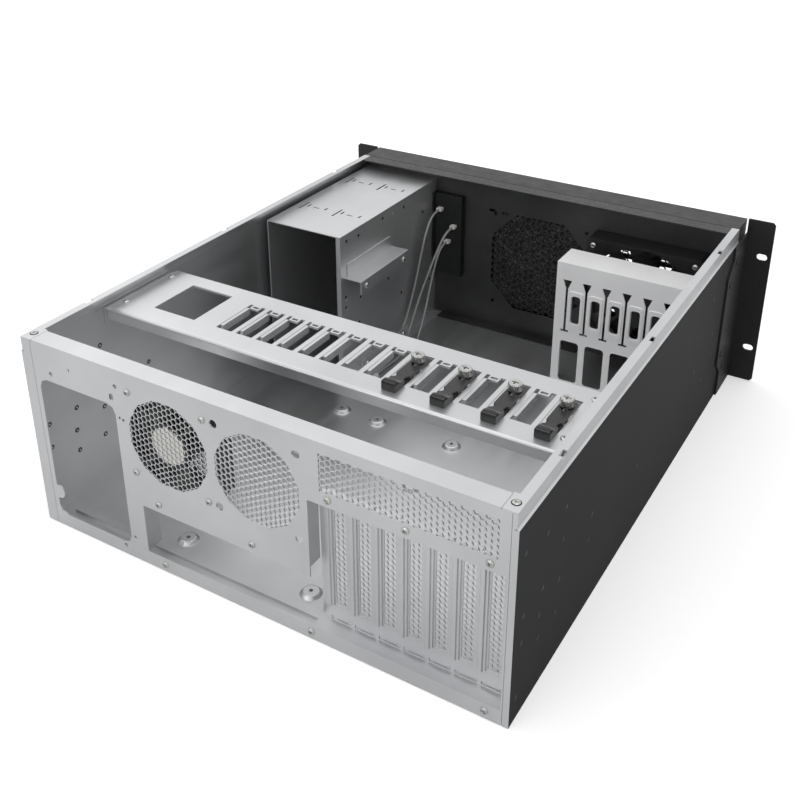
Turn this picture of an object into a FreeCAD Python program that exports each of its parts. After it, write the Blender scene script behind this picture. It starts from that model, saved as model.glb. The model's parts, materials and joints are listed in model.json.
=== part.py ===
import FreeCAD, Part
import math
import os
import re

import Sketcher
from FreeCAD import Placement, Rotation, Vector

# Empty four-unit rackmount server case with its top cover off.
# Frame: +Z up, the rack ears face -Y, the rear panel faces +Y, and the origin is under the middle.
# Every distance called "back" is measured forwards from the outer face of the rear panel.

doc = FreeCAD.newDocument("RackCase")

# ---------------------------------------------------------------- driving sizes, millimetres
SIZES = {
    # tray
    "body_w": (430, "outer width over the side walls"),
    "body_h": (176, "height of the body"),
    "depth": (532, "rear panel to the front of the rack ears"),
    "gauge": (1.2, "thickness of the steel sheet"),
    "front_room": (32, "front wall to the front of the ears"),
    "wall_back": ("=depth - front_room", "inner face of the front wall"),
    "tray_len": ("=wall_back + gauge", "length of the folded tray"),
    "rail_h": (13, "height of the joggled top rail"),
    "rail_in": (1.4, "inward step of the top rail"),
    "rail_lip": (7.2, "width of the inward lip on the rail"),
    "tab_w": (11, "width of the corner tabs on the rails"),
    "tab_len": (18, "length of the corner tabs"),
    "notch_a": (75, "first notch in the rail, back"),
    "notch_b": (252, "second notch in the rail, back"),
    "notch_c": ("=wall_back - 58", "third notch in the rail, back"),
    "notch_len": (8, "length of a notch in the rail"),
    "notch_depth": (3, "depth of a notch in the rail"),
    "strip_a": (11, "rear return of the wall on the power supply side"),
    "strip_b": (4.9, "rear return of the wall on the card side"),
    "emboss_r": (9, "foot radius of a board emboss"),
    "emboss_top_r": (6, "top radius of a board emboss"),
    "emboss_h": (3.2, "height of a board emboss"),
    "emboss_hole_r": (1.7, "tapped hole in a board emboss"),
    "board_row_a": (37, "first row of embosses, back"),
    "board_row_b": (192, "second row of embosses, back"),
    "board_row_c": (265, "third row of embosses, back"),
    "board_col_a": (93, "first column of embosses"),
    "board_col_b": (52, "offset column of the front row"),
    "board_col_c": (-30, "middle column of embosses"),
    "board_col_d": (-196, "last column of embosses"),
    # rear panel
    "panel_flange": (16.5, "top flange of the rear panel"),
    "foot_flange": (24, "bottom flange of the rear panel"),
    "bead_back": (15, "start of the bead on the bottom flange"),
    "bead_w": (7, "width of that bead"),
    "bead_h": (2.6, "height of that bead"),
    "seam": (0.3, "gap in a seam between two sheets"),
    "psu_x": (158.7, "centre of the power supply opening"),
    "psu_w": (80.5, "width of that opening"),
    "psu_bottom": (12.5, "lower edge of that opening"),
    "psu_top": ("=body_h - 33", "upper edge of that opening"),
    "psu_r": (8, "corner radius of that opening"),
    "lug_r": (6.5, "radius of the screw lug"),
    "lug_z": (34, "height of the screw lug"),
    "screw_hole_r": (1.9, "clearance hole for a small screw"),
    "fan_a_x": (68, "centre of the rear fan"),
    "fan_b_x": (-13.8, "centre of the free fan position"),
    "fan_z": ("=body_h - 52.4", "height of both rear fan centres"),
    "fan_screw": (71.5, "hole spacing of an 80 mm fan"),
    "fan_hole_r": (2.25, "hole for a fan screw"),
    "grille_r": (38, "half width of a rear grille"),
    "cell_pitch": (15.6, "pitch of the cells in a rear grille"),
    "cell_rib": (2.6, "rib between two cells of a grille"),
    "front_cell": (21, "pitch of the cells in a front grille"),
    "vent_left": (-68, "left end of the vent above the card slots"),
    "vent_w": (134, "width of that vent"),
    "vent_z": ("=body_h - 25", "middle height of that vent"),
    "io_left": (101, "edge of the input and output opening"),
    "io_w": (158.5, "width of that opening"),
    "io_h": (44.5, "height of that opening"),
    "io_return": (15, "inward return beside that opening"),
    "ledge_z": (13, "top of the ledge under the card slots"),
    "recess": (13, "depth of the card slot recess"),
    "recess_right": (-208.6, "right end of the recess"),
    "recess_top": ("=body_h - 51", "top of the recess"),
    "cheek_low": (66, "lower end of the recess cheek"),
    # card slots
    "slot_x": (-74.6, "centre of the first card slot"),
    "slot_pitch": (20.32, "pitch of the card slots"),
    "slot_w": (12.6, "width of a card slot"),
    "slot_low": (27, "lower end of a card slot"),
    "shelf_z": ("=body_h - 49", "height of the screw shelf"),
    "tongue_w": (17.4, "width of a tongue slot"),
    "tongue_h": (3.2, "height of a tongue slot"),
    "bracket_up": (11, "height of the bracket above its shelf"),
    "cover_w": (18.4, "width of a slot cover"),
    "cover_t": (0.9, "thickness of a slot cover"),
    "cover_low": (17.5, "lower end of a slot cover"),
    "cover_tab": (11, "length of the bent tab of a slot cover"),
    "tongue_drop": (3.2, "length of the tongue of a slot cover"),
    "cover_tongue_w": (10.2, "width of the tongue of a slot cover"),
    # crossbar
    "bar_back": (84, "rear edge of the crossbar"),
    "bar_len": (89, "width of the crossbar, front to rear"),
    "bar_top": ("=body_h - 11", "top of the crossbar"),
    "bar_half": (206, "half length of the crossbar"),
    "bar_t": (2, "thickness of the crossbar"),
    "bar_flange": (10, "depth of its folded edges"),
    "bar_bend": (2.4, "outer bend radius of its folded edges"),
    "hatch_x": (151, "centre of the square window"),
    "hatch_w": (44, "width of the window"),
    "hatch_back": (105.5, "rear edge of the window"),
    "hatch_len": (50, "length of the window"),
    "clip_x": (98, "centre of the first clip slot"),
    "clip_w": (16, "width of a clip slot"),
    "clip_back": (105.5, "rear end of a clip slot"),
    "clip_len": (46.5, "length of a clip slot"),
    "lip_w": (3, "width of the rolled lip in a clip slot"),
    "lip_len": (35, "length of that lip"),
    "lip_h": (6, "depth of that lip"),
    "loop_w": (9, "width of the wire loop in a clip slot"),
    "loop_len": (6, "length of the wire loop"),
    "loop_edge": (1.6, "width of the loop's bars"),
    "angle_h": (16, "height of the angle under each bar end"),
    "angle_w": (15, "width of the angle under each bar end"),
    "angle_len": (84, "length of the angle"),
    # retainers
    "hold_w": (12, "width of a card retainer"),
    "hold_back": (93, "rear end of a retainer"),
    "hold_len": (51, "length of a retainer"),
    "hold_t": (2.6, "thickness of its plate"),
    "heel_len": (16, "length of its raised heel"),
    "heel_h": (8.6, "height of its raised heel"),
    "heel_r": (3, "rounding of the heel"),
    "hold_gap": (0.3, "running clearance of retainers and thumb screws"),
    "stem_w": (7, "width of the stem under a retainer"),
    "stem_len": (12, "length of that stem"),
    "stem_h": (18, "depth of that stem"),
    "hold_travel": (6, "travel of a retainer to each side"),
    "thumb_back": (137, "thumb screw centre, back"),
    "thumb_r": (5.4, "radius of the knurled head"),
    "thumb_h": (6.6, "height of the knurled head"),
    "thumb_shank_r": (1.75, "radius of the thumb screw shank"),
    "thumb_shank": (12.6, "length of the thumb screw shank"),
    "nut_w": (9, "width of the clamp nut under a retainer"),
    "nut_h": (3, "height of the clamp nut"),
    # drive cage
    "cage_right": (119, "inner-facing side of the drive cage"),
    "cage_w": (88, "width of the drive cage"),
    "cage_len": (193, "length of the drive cage"),
    "cage_back": ("=wall_back - cage_len", "rear edge of the drive cage"),
    "cage_top": ("=body_h - 10.5", "top of the drive cage"),
    "cage_t": (1, "sheet thickness of cages and shelves"),
    "cage_foot": (10, "width of the feet of the cage"),
    "cage_edge": (5, "width of the folded rear edge"),
    "bay_pitch": (41.3, "pitch of the drive bays"),
    "lance_w": (1.8, "width of the lanced slots"),
    "lance_a": ("=cage_back + 53", "first row of lanced slots, back"),
    "lance_b": ("=cage_back + 139", "second row of lanced slots, back"),
    "shelf_top": ("=body_h - 56", "height of the upper disk shelf"),
    "shelf_w": (20, "width of a disk shelf"),
    "shelf_back": ("=cage_back + 6", "rear end of a disk shelf"),
    "shelf_len": (92, "length of a disk shelf"),
    "shelf_lip": (14, "height of the shelf's screw flange"),
    "shelf_screw": (10, "screw of a shelf from its end"),
    "shelf_low": (18, "height of the lower disk shelf"),
    # card guide
    "guide_back": ("=wall_back - 82", "rear face of the card guide"),
    "guide_left": (-63, "left edge of the card guide"),
    "guide_w": (144, "width of the card guide"),
    "guide_h": ("=body_h - 36", "height of the card guide"),
    "guide_top": (35, "depth of its top flange"),
    "guide_side": (22, "depth of its side flange"),
    "guide_foot": (8, "width of its foot flange"),
    "guide_slot_w": (2.4, "width of a guide slot"),
    "guide_slot_low": (67, "lower end of a guide slot"),
    "guide_slot_top": (113, "upper end of a guide slot"),
    "funnel_w": (9.4, "width of the lead-in"),
    "funnel_h": (9, "height of the lead-in"),
    "ring_w": (8.8, "width of the hole in a spring finger"),
    "ring_low": (76, "lower end of that hole"),
    "ring_top": (106, "upper end of that hole"),
    "window_w": (19.8, "width of a lower window"),
    "window_low": (8.5, "lower edge of a lower window"),
    "window_top": (54.5, "upper edge of a lower window"),
    "window_pitch": (26.5, "pitch of the lower windows"),
    # front
    "wall_flange": (15, "top flange of the front wall"),
    "wall_foot": (12, "bottom flange of the front wall"),
    "bay_gap": (2, "frame of the bay opening inside the cage"),
    "bay_low": (9, "lower edge of the bay opening"),
    "bay_high": ("=body_h - 16", "upper edge of the bay opening"),
    "front_fan_x": (-130, "centre of the front fan"),
    "vent_x": (-8, "centre of the free front fan position"),
    "front_fan_z": ("=body_h / 2 - 2", "height of the front fan centres"),
    "vent_r": (51, "half width of a front grille"),
    "bezel_t": (2.5, "wall of the moulded bezel"),
    "bezel_half": (213, "half width of the bezel"),
    "bezel_gap": (0.8, "seam between front wall and bezel"),
    "bezel_out": (1, "bezel in front of the ears"),
    "vent_slot_h": (4, "height of a vent slot in the bezel"),
    "vent_slot_pitch": (9, "pitch of the vent slots"),
    "vent_bar": (3, "half width of the bar between the vent slots"),
    "blank_tail": (24, "length of the tail behind a bay cover"),
    "blank_tail_h": (30, "height of that tail"),
    "grip": (3, "height of the grip groove in a bay cover"),
    "control_x": (100, "centre line of the controls"),
    "button_z": ("=body_h - 36", "height of the power button"),
    "reset_z": ("=button_z - 18", "height of the reset button"),
    "button_r": (7, "radius of the power button"),
    "reset_r": (3.5, "radius of the reset button"),
    "button_gap": (0.4, "clearance round a button"),
    "button_travel": (1.5, "travel of a button"),
    "stem_r": (2.4, "radius of a button's stem"),
    "switch_h": (4, "height of a switch on the front board"),
    "switch_w": (8, "width of a switch"),
    "button_proud": (0.6, "button standing out of the bezel"),
    "lamp_r": (1.5, "radius of an indicator lamp"),
    "lamp_z": ("=button_z - 34", "height of the upper indicator lamp"),
    "lamp_pitch": (9, "pitch of the indicator lamps"),
    "usb_w": (6, "width of a port"),
    "usb_h": (13.4, "height of a port"),
    "usb_z": ("=button_z - 74", "height of the ports"),
    "usb_pitch": (14, "pitch of the ports"),
    "ear_t": (2, "thickness of the rack ears"),
    "ear_h": ("=body_h + 1", "height of the rack ears"),
    "ear_half": (241.3, "half width over the rack ears"),
    "ear_corner": (5, "corner radius of the rack ears"),
    "ear_slot_x": (232.55, "rack slot centre"),
    "ear_slot_z": (101.6, "spacing of the rack slots"),
    "ear_slot_len": (10.4, "length of a rack slot"),
    "ear_slot_w": (6.8, "width of a rack slot"),
    "ear_side": (62, "length of the ear's side flange"),
    "ear_step": (14, "step in the outline of that flange"),
    "ear_screw_wide": (58, "screws near the ear, from mid height"),
    "ear_screw_close": (38, "screws on the ear's step, from mid height"),
    # fans
    "fan_size": (80, "side of the rear fan"),
    "fan_t": (25, "depth of a fan"),
    "big_fan_size": (120, "side of the front fan"),
    "big_fan_screw": (105, "hole spacing of the front fan"),
    "fan_wall": (2, "least wall of a fan frame"),
    "fan_corner": (4, "corner radius of a fan frame"),
    "pin_share": (0.6, "length of the rotor's pin as a share of the fan's depth"),
    "fan_hub": (0.24, "hub radius as a share of the fan's side"),
    "fan_run": (0.8, "running clearance of the blades"),
    "strut": (3, "thickness of the motor seat and its struts"),
    "pin_r": (2, "radius of the pin that a rotor turns on"),
    "pin_gap": (0.2, "clearance of the rotor on its pin"),
    "filter_t": (7, "thickness of the dust filter"),
    # front board
    "pcb_w": (34, "width of the front board"),
    "pcb_h": (96, "height of the front board"),
    "pcb_t": (1.6, "thickness of the front board"),
    "pcb_z": ("=button_z - 36", "height of the front board's centre"),
    "pcb_stand": (6, "distance of the board from the front wall"),
    "clear_w": (24, "width of the opening behind the buttons"),
    "clear_h": (36, "height of that opening"),
    "clear_z": ("=(button_z + reset_z) / 2", "middle height of that opening"),
    "lead_r": (1.2, "radius of a front lead"),
    "plug_w": (6, "width of a lead's connector"),
    "plug_h": (3.4, "height of a lead's connector"),
    "plug_len": (14, "length of a lead's connector"),
    "header_len": (6, "length of a connector on the front board"),
    # fasteners
    "screw_r": (3, "radius of a small screw head"),
    "screw_h": (1.6, "height of a small screw head"),
    "sheet_screw": (3, "length of a screw that holds two sheets"),
    "fan_screw_len": (8, "length of a fan screw"),
    "screw_core_r": (1.4, "radius of a small screw shank"),
}
FAN_BLADES = 7
COVER_CELLS = 5
VENT_CELLS = 10
HOLE_SIDES = 6
BOSS_SIDES = 10
HUB_SIDES = 16
CORNER_FLATS = 2
SLOTS = 7
CLIPS = 15
RETAINED = (8, 10, 12, 14)
WINDOWS = 5

sheet = doc.addObject("Spreadsheet::Sheet", "dims")
for row, (alias, (value, note)) in enumerate(SIZES.items(), start=1):
    sheet.set(f"A{row}", note)
    sheet.set(f"B{row}", str(value))
    sheet.setAlias(f"B{row}", alias)
doc.recompute()


def size(alias):
    """The value of one driving size."""
    return float(sheet.get(alias))


def bound(text):
    """An expression with each driving size written as a cell of the sheet."""
    return re.sub(r"[a-z][a-z_]*", lambda m: f"dims.{m[0]}" if m[0] in SIZES else m[0], str(text))


def back(distance):
    """The Y of a point that lies a distance in front of the rear panel's outer face."""
    return f"depth / 2 - ({distance})"


# ---------------------------------------------------------------- building helpers
NODES = []


def seat(feature, at):
    """Binds a feature's place to the sheet."""
    for axis, text in zip("xyz", at):
        feature.setExpression(f"Placement.Base.{axis}", bound(text))
    return feature


def box(name, lengths, at):
    """A block given by its three lengths and its lowest corner."""
    block = doc.addObject("Part::Box", name)
    for prop, text in zip(("Length", "Width", "Height"), lengths):
        block.setExpression(prop, bound(text))
    return seat(block, at)


TURNS = {
    "x": Rotation(Vector(0, 1, 0), 90),
    "y": Rotation(Vector(1, 0, 0), -90),
    "z": Rotation(),
}


def rod(name, radius, length, at, axis="z"):
    """A cylinder that runs along +axis from a point."""
    cylinder = doc.addObject("Part::Cylinder", name)
    cylinder.Placement.Rotation = TURNS[axis]
    cylinder.setExpression("Radius", bound(radius))
    cylinder.setExpression("Height", bound(length))
    return seat(cylinder, at)


def prism(name, sides, radius, length, at, axis="z"):
    """A block with a regular section, whose corners lie on a circle, that runs along +axis from a point."""
    block = doc.addObject("Part::Prism", name)
    block.Polygon = sides
    block.Placement.Rotation = TURNS[axis]
    block.setExpression("Circumradius", bound(radius))
    block.setExpression("Height", bound(length))
    return seat(block, at)


def hole(name, radius, length, at, axis="z"):
    """A small screw hole, drawn with a few flats like the shank that it takes."""
    return prism(name, HOLE_SIDES, radius, length, at, axis)


def fuse(name, pieces):
    """One feature that joins its pieces."""
    joined = doc.addObject("Part::MultiFuse", name)
    joined.Shapes = pieces
    joined.Refine = True
    return joined


def cut(name, base, tools):
    """The base with every tool taken out of it."""
    trimmed = doc.addObject("Part::Cut", name)
    trimmed.Base = base
    trimmed.Tool = tools[0] if len(tools) == 1 else group(f"{name}_tools", tools)
    trimmed.Refine = True
    return trimmed


def group(name, pieces):
    """Separate pieces kept together as one feature."""
    together = doc.addObject("Part::Compound", name)
    together.Links = pieces
    return together


def node(feature, label):
    """Names a finished sub-part, whose label is its file's name."""
    feature.Label = label
    NODES.append(feature)
    return feature


PLANES = {"xy": "XY_Plane", "xz": "XZ_Plane", "yz": "YZ_Plane"}


def profile(name, plane, corners, length, start="0"):
    """A body padded from a closed outline whose corners are expressions; start is its offset."""
    body = doc.addObject("PartDesign::Body", name)
    sketch = body.newObject("Sketcher::SketchObject", f"{name}_sketch")
    origin = next(f for f in body.Origin.OriginFeatures if f.Role == PLANES[plane])
    sketch.AttachmentSupport = [(origin, "")]
    sketch.MapMode = "FlatFace"
    count = len(corners)
    values = [[evaluate(text) for text in corner] for corner in corners]
    for i in range(count):
        start_point = Vector(*values[i], 0)
        end_point = Vector(*values[(i + 1) % count], 0)
        sketch.addGeometry(Part.LineSegment(start_point, end_point), False)
    for i in range(count):
        sketch.addConstraint(Sketcher.Constraint("Coincident", i, 2, (i + 1) % count, 1))
    for i, corner in enumerate(corners):
        for kind, value, text in zip(("DistanceX", "DistanceY"), values[i], corner):
            index = sketch.addConstraint(Sketcher.Constraint(kind, -1, 1, i, 1, value))
            sketch.setExpression(f"Constraints[{index}]", bound(text))
    pad = body.newObject("PartDesign::Pad", f"{name}_pad")
    pad.Profile = sketch
    pad.setExpression("Length", bound(length))
    body.Tip = pad
    axis = {"xy": "z", "xz": "y", "yz": "x"}[plane]
    body.setExpression(f"Placement.Base.{axis}", bound(start))
    return body


def evaluate(text):
    """The present value of an expression in driving sizes."""
    return float(sheet.evalExpression(bound(text)))


def mirrored(points):
    """An outline's left half, mirrored to make the whole outline."""
    return points + [(f"-({x})", z) for x, z in reversed(points)]


def face_xz(wires, at_back):
    """A flat face in an XZ plane, from an outer outline and the outlines of its holes."""
    face = Part.makeFace(wires, "Part::FaceMakerBullseye")
    face.translate(Vector(0, size("depth") / 2 - at_back, 0))
    return face


def rounded(x_mid, z_low, z_high, width, radius):
    """A closed outline in XZ: an upright rectangle whose corners are rounded by short flats."""
    points = []
    for turn, (sx, sz) in enumerate(((1, 1), (-1, 1), (-1, -1), (1, -1))):
        x_centre = x_mid + sx * (width / 2 - radius)
        z_centre = (z_high if sz > 0 else z_low) - sz * radius
        for step in range(CORNER_FLATS + 1):
            angle = math.radians(90 * (turn + step / CORNER_FLATS))
            points.append((x_centre + radius * math.cos(angle), z_centre + radius * math.sin(angle)))
    return polygon(points)


def level(x_low, x_high, z_low, z_high):
    """A closed rectangular outline in XZ."""
    return polygon([(x_low, z_low), (x_high, z_low), (x_high, z_high), (x_low, z_high)])


def obround(x_mid, z_mid, length, width):
    """A closed outline in XZ: a level slot with round ends."""
    reach, radius = (length - width) / 2, width / 2
    edges = []
    for way in (1, -1):
        x_end = x_mid + way * reach
        low, high = Vector(x_end, 0, z_mid - way * radius), Vector(x_end, 0, z_mid + way * radius)
        edges.append(Part.Arc(low, Vector(x_end + way * radius, 0, z_mid), high).toShape())
        edges.append(Part.makeLine(high, high - Vector(2 * way * reach, 0, 0)))
    return Part.Wire(edges)


def polygon(points):
    """A closed outline in XZ through its corners."""
    corners = [Vector(x, 0, z) for x, z in points]
    return Part.makePolygon(corners + corners[:1])


def circle(x_mid, z_mid, radius):
    """A round outline in XZ."""
    return Part.Wire(Part.makeCircle(radius, Vector(x_mid, 0, z_mid), Vector(0, 1, 0)))


def regular(sides, radius):
    """The corners of a regular outline round the origin, as pairs."""
    turns = [2 * math.pi * i / sides for i in range(sides)]
    return [(radius * math.cos(turn), radius * math.sin(turn)) for turn in turns]


def small_hole(x_mid, z_mid, radius):
    """The outline in XZ of a small screw hole."""
    return polygon([(x_mid + x, z_mid + z) for x, z in regular(HOLE_SIDES, radius)])


def cells(x_mid, z_mid, pitch, x_reach, z_reach):
    """The six-sided cells of a grille; equal reaches make the grille round."""
    across = (pitch - size("cell_rib")) / math.sqrt(3)
    rise = pitch * math.sqrt(3) / 2
    wires = []
    for row in range(-int(z_reach // rise), int(z_reach // rise) + 1):
        for column in range(-int(x_reach // pitch) - 1, int(x_reach // pitch) + 1):
            x, z = (column + row % 2 / 2) * pitch, row * rise
            outside = math.hypot(x, z) > x_reach if x_reach == z_reach else abs(x) > x_reach
            if not outside:
                wires.append(polygon([(x_mid + x + dx, z_mid + z + dz) for dz, dx in regular(6, across)]))
    return wires


def polyhedron(faces):
    """A solid from the corner points of its flat faces."""
    shell = Part.makeShell([Part.Face(Part.makePolygon(corners + corners[:1])) for corners in faces])
    solid = Part.makeSolid(shell)
    if solid.Volume < 0:
        solid.reverse()
    return solid


def frustum(sides, low_r, high_r, height):
    """A regular tapered block that stands on the origin."""
    low = [Vector(x, y, 0) for x, y in regular(sides, low_r)]
    high = [Vector(x, y, height) for x, y in regular(sides, high_r)]
    walls = [[low[i - 1], low[i], high[i], high[i - 1]] for i in range(sides)]
    return polyhedron([low, high] + walls)


def sheet_xz(name, wires, at_back, thickness):
    """A flat sheet with holes, extruded forwards from a plane."""
    outline = doc.addObject("Part::Feature", f"{name}_outline")
    outline.Shape = face_xz(wires, at_back)
    plate = doc.addObject("Part::Extrusion", name)
    plate.Base = outline
    plate.DirMode = "Custom"
    plate.Dir = Vector(0, -1, 0)
    plate.Solid = True
    plate.setExpression("LengthFwd", bound(thickness))
    return plate


def made(name, shape):
    """A sub-part whose shape is worked out by its own function."""
    feature = doc.addObject("Part::Feature", name)
    feature.Shape = shape
    return feature


# ---------------------------------------------------------------- tray
def chassis_tray():
    """Floor and both side walls, folded from one sheet, with joggled rails and rear returns."""
    half = [
        ("body_w / 2", "0"),
        ("body_w / 2", "body_h - rail_h"),
        ("body_w / 2 - rail_in", "body_h - rail_h + rail_in"),
        ("body_w / 2 - rail_in", "body_h"),
        ("body_w / 2 - rail_in - rail_lip", "body_h"),
        ("body_w / 2 - rail_in - rail_lip", "body_h - gauge"),
        ("body_w / 2 - rail_in - gauge", "body_h - gauge"),
        ("body_w / 2 - rail_in - gauge", "body_h - rail_h + rail_in"),
        ("body_w / 2 - gauge", "body_h - rail_h"),
        ("body_w / 2 - gauge", "gauge"),
    ]
    fold = profile("tray_fold", "xz", mirrored(half), "tray_len", back(0))
    pieces = [fold]
    for side, sign, strip in (("a", 1, "strip_a"), ("b", -1, "strip_b")):
        low = f"body_w / 2 - {strip}" if sign > 0 else "-body_w / 2"
        pieces.append(box(f"return_{side}", (strip, "gauge", "body_h - rail_h"), (low, back("gauge"), "0")))
        high = low if sign > 0 else "rail_in + gauge - body_w / 2"
        pieces.append(box(f"return_top_{side}", (f"{strip} - rail_in - gauge", "gauge", "rail_h - gauge"),
                          (high, back("gauge"), "body_h - rail_h")))
        tab = "body_w / 2 - rail_in - tab_w" if sign > 0 else "rail_in - body_w / 2"
        pieces.append(box(f"tab_{side}", ("tab_w", "tab_len", "gauge"),
                          (tab, back("tab_len"), "body_h - gauge")))
    notch = ("2 * notch_depth", "notch_len", "2 * notch_depth")
    holes = [box(f"notch_{name}", notch, (low, back(place), "body_h - notch_depth"))
             for name, low, place in rail_notches()]
    spots = [(col, row) for row in ("board_row_a", "board_row_b", "board_row_c")
             for col in ("board_col_a", "board_col_c", "board_col_d")]
    spots.append(("board_col_b", "board_row_c"))
    for i, (col, row) in enumerate(spots):
        boss = frustum(BOSS_SIDES, size("emboss_r"), size("emboss_top_r"), size("emboss_h"))
        pieces.append(seat(made(f"emboss_{i}", boss), (col, back(row), "gauge")))
        drill = rod if col in ("board_col_a", "board_col_d") and row != "board_row_b" else hole
        holes.append(drill(f"emboss_hole_{i}", "emboss_hole_r", "emboss_h + 3 * gauge",
                           (col, back(row), "-gauge")))
    for side, x_low in (("a", "body_w / 2 - 2 * gauge"), ("b", "-body_w / 2 - gauge")):
        for i, (distance, z_mid) in enumerate(ear_screw_spots()):
            holes.append(hole(f"ear_hole_{side}_{i}", "screw_core_r", "3 * gauge",
                              (x_low, back(distance), str(z_mid)), "x"))
    return node(cut("chassis_tray", fuse("tray_solid", pieces), holes), "chassis_tray")


def rail_notches():
    """The notches in the outer edge of both rails: name, lowest X and distance from the rear panel."""
    edges = {"a": "body_w / 2 - rail_in - notch_depth", "b": "rail_in - notch_depth - body_w / 2"}
    places = ("notch_a", "notch_b", "notch_c")
    return [(side + place, edge, place) for side, edge in edges.items() for place in places]


# ---------------------------------------------------------------- rear panel
def fan_holes(x_mid, z_mid, spacing, radius, outline):
    """The outlines of a fan's four screw holes."""
    reach = spacing / 2
    return [outline(x_mid + sx * reach, z_mid + sz * reach, radius) for sx in (-1, 1) for sz in (-1, 1)]


def rear_panel():
    """Rear sheet with power supply, fan, board and card openings, and its folded edges."""
    top = size("body_h")
    left = size("body_w") / 2 - size("strip_a") - size("seam")
    right = -size("body_w") / 2 + size("strip_b") + size("seam")
    low = size("gauge")
    ledge = size("ledge_z")
    io_left = size("io_left")
    io_right = io_left - size("io_w")
    recess_right = size("recess_right")
    wires = [
        level(right, left, low, top - low),
        polygon([
            (io_left, ledge), (io_left, ledge + size("io_h")), (io_right, ledge + size("io_h")),
            (io_right, size("recess_top")), (recess_right, size("recess_top")), (recess_right, ledge),
        ]),
        psu_outline(),
    ]
    for x_mid, outline in ((size("fan_a_x"), small_hole), (size("fan_b_x"), circle)):
        wires += fan_holes(x_mid, size("fan_z"), size("fan_screw"), size("fan_hole_r"), outline)
        wires += cells(x_mid, size("fan_z"), size("cell_pitch"), size("grille_r"), size("grille_r"))
    wires += [small_hole(x, z, size("screw_hole_r")) for x, z in rear_screw_spots()]
    half = size("vent_w") / 2
    pitch = 2 * half / VENT_CELLS
    wires += cells(size("vent_left") - half, size("vent_z"), pitch, half - pitch / 3, pitch)
    plane = sheet_xz("rear_sheet", wires, 0, "gauge")
    wide = "body_w - strip_a - strip_b - 2 * seam"
    x_low = "strip_b + seam - body_w / 2"
    folded = [
        plane,
        box("panel_top", ("body_w - 2 * (rail_in + tab_w + seam)", "panel_flange", "gauge"),
            ("rail_in + tab_w + seam - body_w / 2", back("panel_flange"), "body_h - gauge")),
        box("panel_foot", (wide, "foot_flange", "gauge"), (x_low, back("foot_flange"), "gauge")),
        box("panel_bead", ("psu_x + psu_w / 2 - recess_right", "bead_w", "bead_h"),
            ("recess_right", back("bead_back + bead_w"), "2 * gauge")),
        box("io_cheek", ("gauge", "io_return", "io_h"), ("io_left", back("io_return"), "ledge_z")),
        box("recess_cheek", ("gauge", "recess", "recess_top - cheek_low"),
            ("io_left - io_w", back("recess"), "cheek_low")),
        box("card_ledge", ("io_left - io_w - recess_right", "recess", "gauge"),
            ("recess_right", back("recess"), "ledge_z - gauge")),
        box("recess_end", ("gauge", "recess", "recess_top - ledge_z + gauge"),
            ("recess_right - gauge", back("recess"), "ledge_z - gauge")),
    ]
    return node(fuse("rear_panel", folded), "rear_panel")


def psu_outline():
    """The power supply opening with a screw lug on its outer edge."""
    x_mid, width = size("psu_x"), size("psu_w")
    low, high, radius = size("psu_bottom"), size("psu_top"), size("psu_r")
    opening = Part.Face(rounded(x_mid, low, high, width, radius))
    edge = x_mid + width / 2
    lug = Part.Face(circle(edge - size("screw_r") / 2, size("lug_z"), size("lug_r")))
    return opening.cut(lug).Faces[0].OuterWire


def rear_screw_spots():
    """Places of the small screws that hold the rear panel and the card bracket."""
    above_io = size("ledge_z") + size("io_h") + 2 * size("screw_r") + size("gauge")
    foot = size("ledge_z") / 2
    shelf = size("shelf_z") + 4
    slots = [size("slot_x") - size("slot_pitch") * i for i in (0, SLOTS // 2, SLOTS - 1)]
    plain = [(84, above_io), (-6, above_io), (84, foot), (-56, foot), (-197, foot)]
    return plain + [(x, shelf) for x in slots]


def slot_bracket():
    """Recessed plate with the card slots and tongue slots, and the shelf that takes the card screws."""
    x_left = size("io_left") - size("io_w") - size("gauge")
    x_right = size("recess_right")
    low = size("ledge_z")
    shelf = size("shelf_z")
    wires = [level(x_right, x_left, low, shelf)]
    for i in range(SLOTS):
        x_mid = size("slot_x") - size("slot_pitch") * i
        half, tongue = size("slot_w") / 2, size("tongue_w") / 2
        wires.append(level(x_mid - half, x_mid + half, size("slot_low"), shelf - 4 * size("gauge")))
        tongue_low = low + size("gauge") / 2
        wires.append(level(x_mid - tongue, x_mid + tongue, tongue_low, tongue_low + size("tongue_h")))
    plate = sheet_xz("bracket_plate", wires, size("recess"), "gauge")
    wide = "io_left - io_w - gauge - recess_right"
    shelf_plate = box("bracket_shelf", (wide, "recess", "gauge"),
                      ("recess_right", back("recess + gauge"), "shelf_z - gauge"))
    upright = box("bracket_upright", (wide, "gauge", "bracket_up"),
                  ("recess_right", back("2 * gauge"), "shelf_z - gauge"))
    holes = [hole(f"bracket_hole_{i}", "screw_core_r", "4 * gauge",
                 (str(x), back("4 * gauge"), str(z)), "y") for i, (x, z) in enumerate(rear_screw_spots()[5:])]
    folded = fuse("bracket_solid", [plate, shelf_plate, upright])
    return node(cut("slot_bracket", folded, holes), "slot_bracket")


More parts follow.
